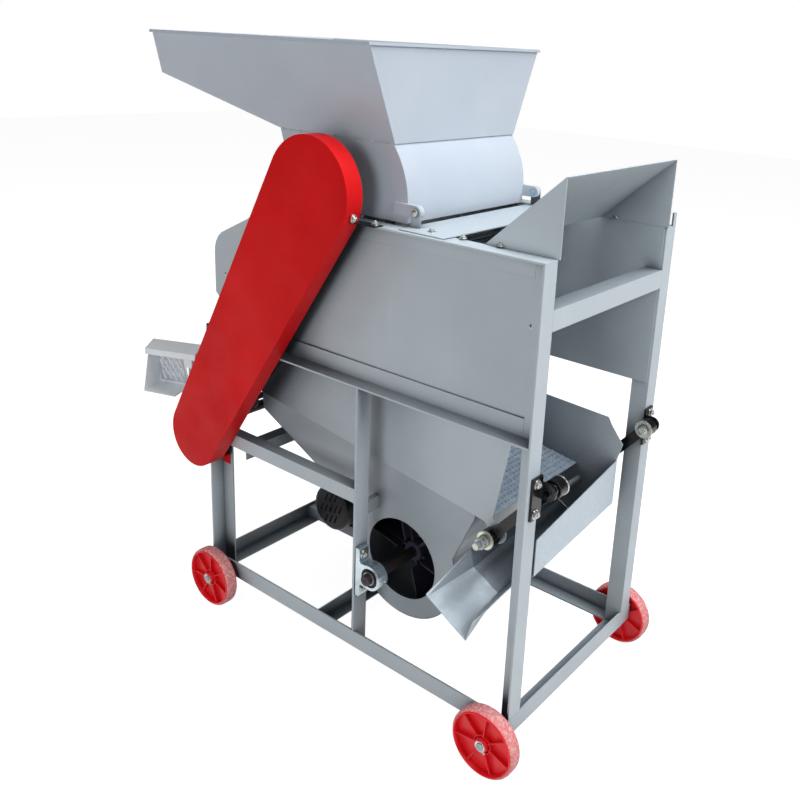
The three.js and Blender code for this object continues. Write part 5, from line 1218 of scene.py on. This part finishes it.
# Camera: the photograph's viewing angle, fitted to the frame's straight edges
CAMERA_SPOT = (1675.8, -1239.9, 1316.2)
AZIMUTH, ELEVATION, ROLL = (math.radians(angle) for angle in (36.81, 17.01, 3.06))
LENS = {"sensor_width": 36, "lens": 40.06, "shift_x": -0.075, "shift_y": -0.107, "clip_start": 0.05}
camera_data = bpy.data.cameras.new("camera")
camera = bpy.data.objects.new("camera", camera_data)
bpy.context.scene.collection.objects.link(camera)
bpy.context.scene.camera = camera
bpy.context.scene.view_settings.view_transform = "Standard"
level_out = math.cos(ELEVATION)
back = Vector((math.sin(AZIMUTH) * level_out, -math.cos(AZIMUTH) * level_out, math.sin(ELEVATION)))
right = Vector((math.cos(AZIMUTH), math.sin(AZIMUTH), 0))
up = back.cross(right)
rolled_right = right * math.cos(ROLL) + up * math.sin(ROLL)
rolled_up = up * math.cos(ROLL) - right * math.sin(ROLL)
turn = Matrix((rolled_right, rolled_up, back)).transposed().to_4x4()
camera.matrix_world = Matrix.Translation(at(*CAMERA_SPOT)) @ turn
for setting, value in LENS.items():
    setattr(camera_data, setting, value)

# Floor and backdrop: white where the camera sees them, and faint as light on the machine
FLOOR_REACH = 12
FLOOR_TONE = 0.40
FLOOR_GLOW = 0.93
WORLD_LIGHT = 0.08
floor_mesh = bpy.data.meshes.new("floor")
floor_corners = [(FLOOR_REACH * x, FLOOR_REACH * y, 0) for x, y in ((-1, -1), (1, -1), (1, 1), (-1, 1))]
floor_mesh.from_pydata(floor_corners, [], [(0, 1, 2, 3)])
floor = bpy.data.objects.new("floor", floor_mesh)
bpy.context.scene.collection.objects.link(floor)
floor_look = Nodes("floor_white")
floor_look.set(Base_Color=(FLOOR_TONE, FLOOR_TONE, FLOOR_TONE, 1), Roughness=0.7, Emission_Color=(1, 1, 1, 1))
path = floor_look.add("ShaderNodeLightPath")
seen = floor_look.maths("MAXIMUM", path.outputs["Is Camera Ray"], path.outputs["Is Glossy Ray"])
floor_look.link(floor_look.maths("MULTIPLY", seen, FLOOR_GLOW), floor_look.shader.inputs["Emission Strength"])
floor_mesh.materials.append(floor_look.material)

world = bpy.data.worlds.new("studio")
bpy.context.scene.world = world
world.use_nodes = True
tree = world.node_tree
background = tree.nodes["Background"]
world_path = tree.nodes.new("ShaderNodeLightPath")
either = tree.nodes.new("ShaderNodeMath")
either.operation = "MAXIMUM"
tree.links.new(world_path.outputs["Is Camera Ray"], either.inputs[0])
tree.links.new(world_path.outputs["Is Transmission Ray"], either.inputs[1])
brightness = tree.nodes.new("ShaderNodeMapRange")
brightness.inputs["To Min"].default_value = WORLD_LIGHT
brightness.inputs["To Max"].default_value = 1.0
tree.links.new(either.outputs[0], brightness.inputs["Value"])
background.inputs["Color"].default_value = (1.0, 1.0, 1.0, 1)
tree.links.new(brightness.outputs["Result"], background.inputs["Strength"])


# Lamps: places in metres of the row, power in watts, width in metres
def lamp(name, spot, target, power, width, colour=(1, 1, 1), shine=True):
    """Square soft lamp. One without shine leaves no reflection of itself."""
    data = bpy.data.lights.new(name, "AREA")
    data.energy = power
    data.size = width
    data.color = colour
    thing = bpy.data.objects.new(name, data)
    bpy.context.scene.collection.objects.link(thing)
    thing.location = spot
    thing.rotation_euler = (Vector(target) - Vector(spot)).to_track_quat("-Z", "Y").to_euler()
    thing.visible_glossy = shine


lamp("key", (3.8, -0.2, 3.3), (0, 0, 0.8), 128, 2.0)
lamp("fill", (0.9, -4.2, 1.2), (0, 0, 0.8), 54, 1.8, shine=False)
lamp("left", (-3.3, -2.6, 1.7), (-0.4, 0, 0.6), 26, 1.2, shine=False)
lamp("back", (-2.6, 3.4, 2.4), (0, 0, 0.8), 26, 2.4, shine=False)
lamp("top", (0.9, 0.2, 3.8), (0, 0, 0.8), 84, 1.8, (0.94, 0.97, 1.0))
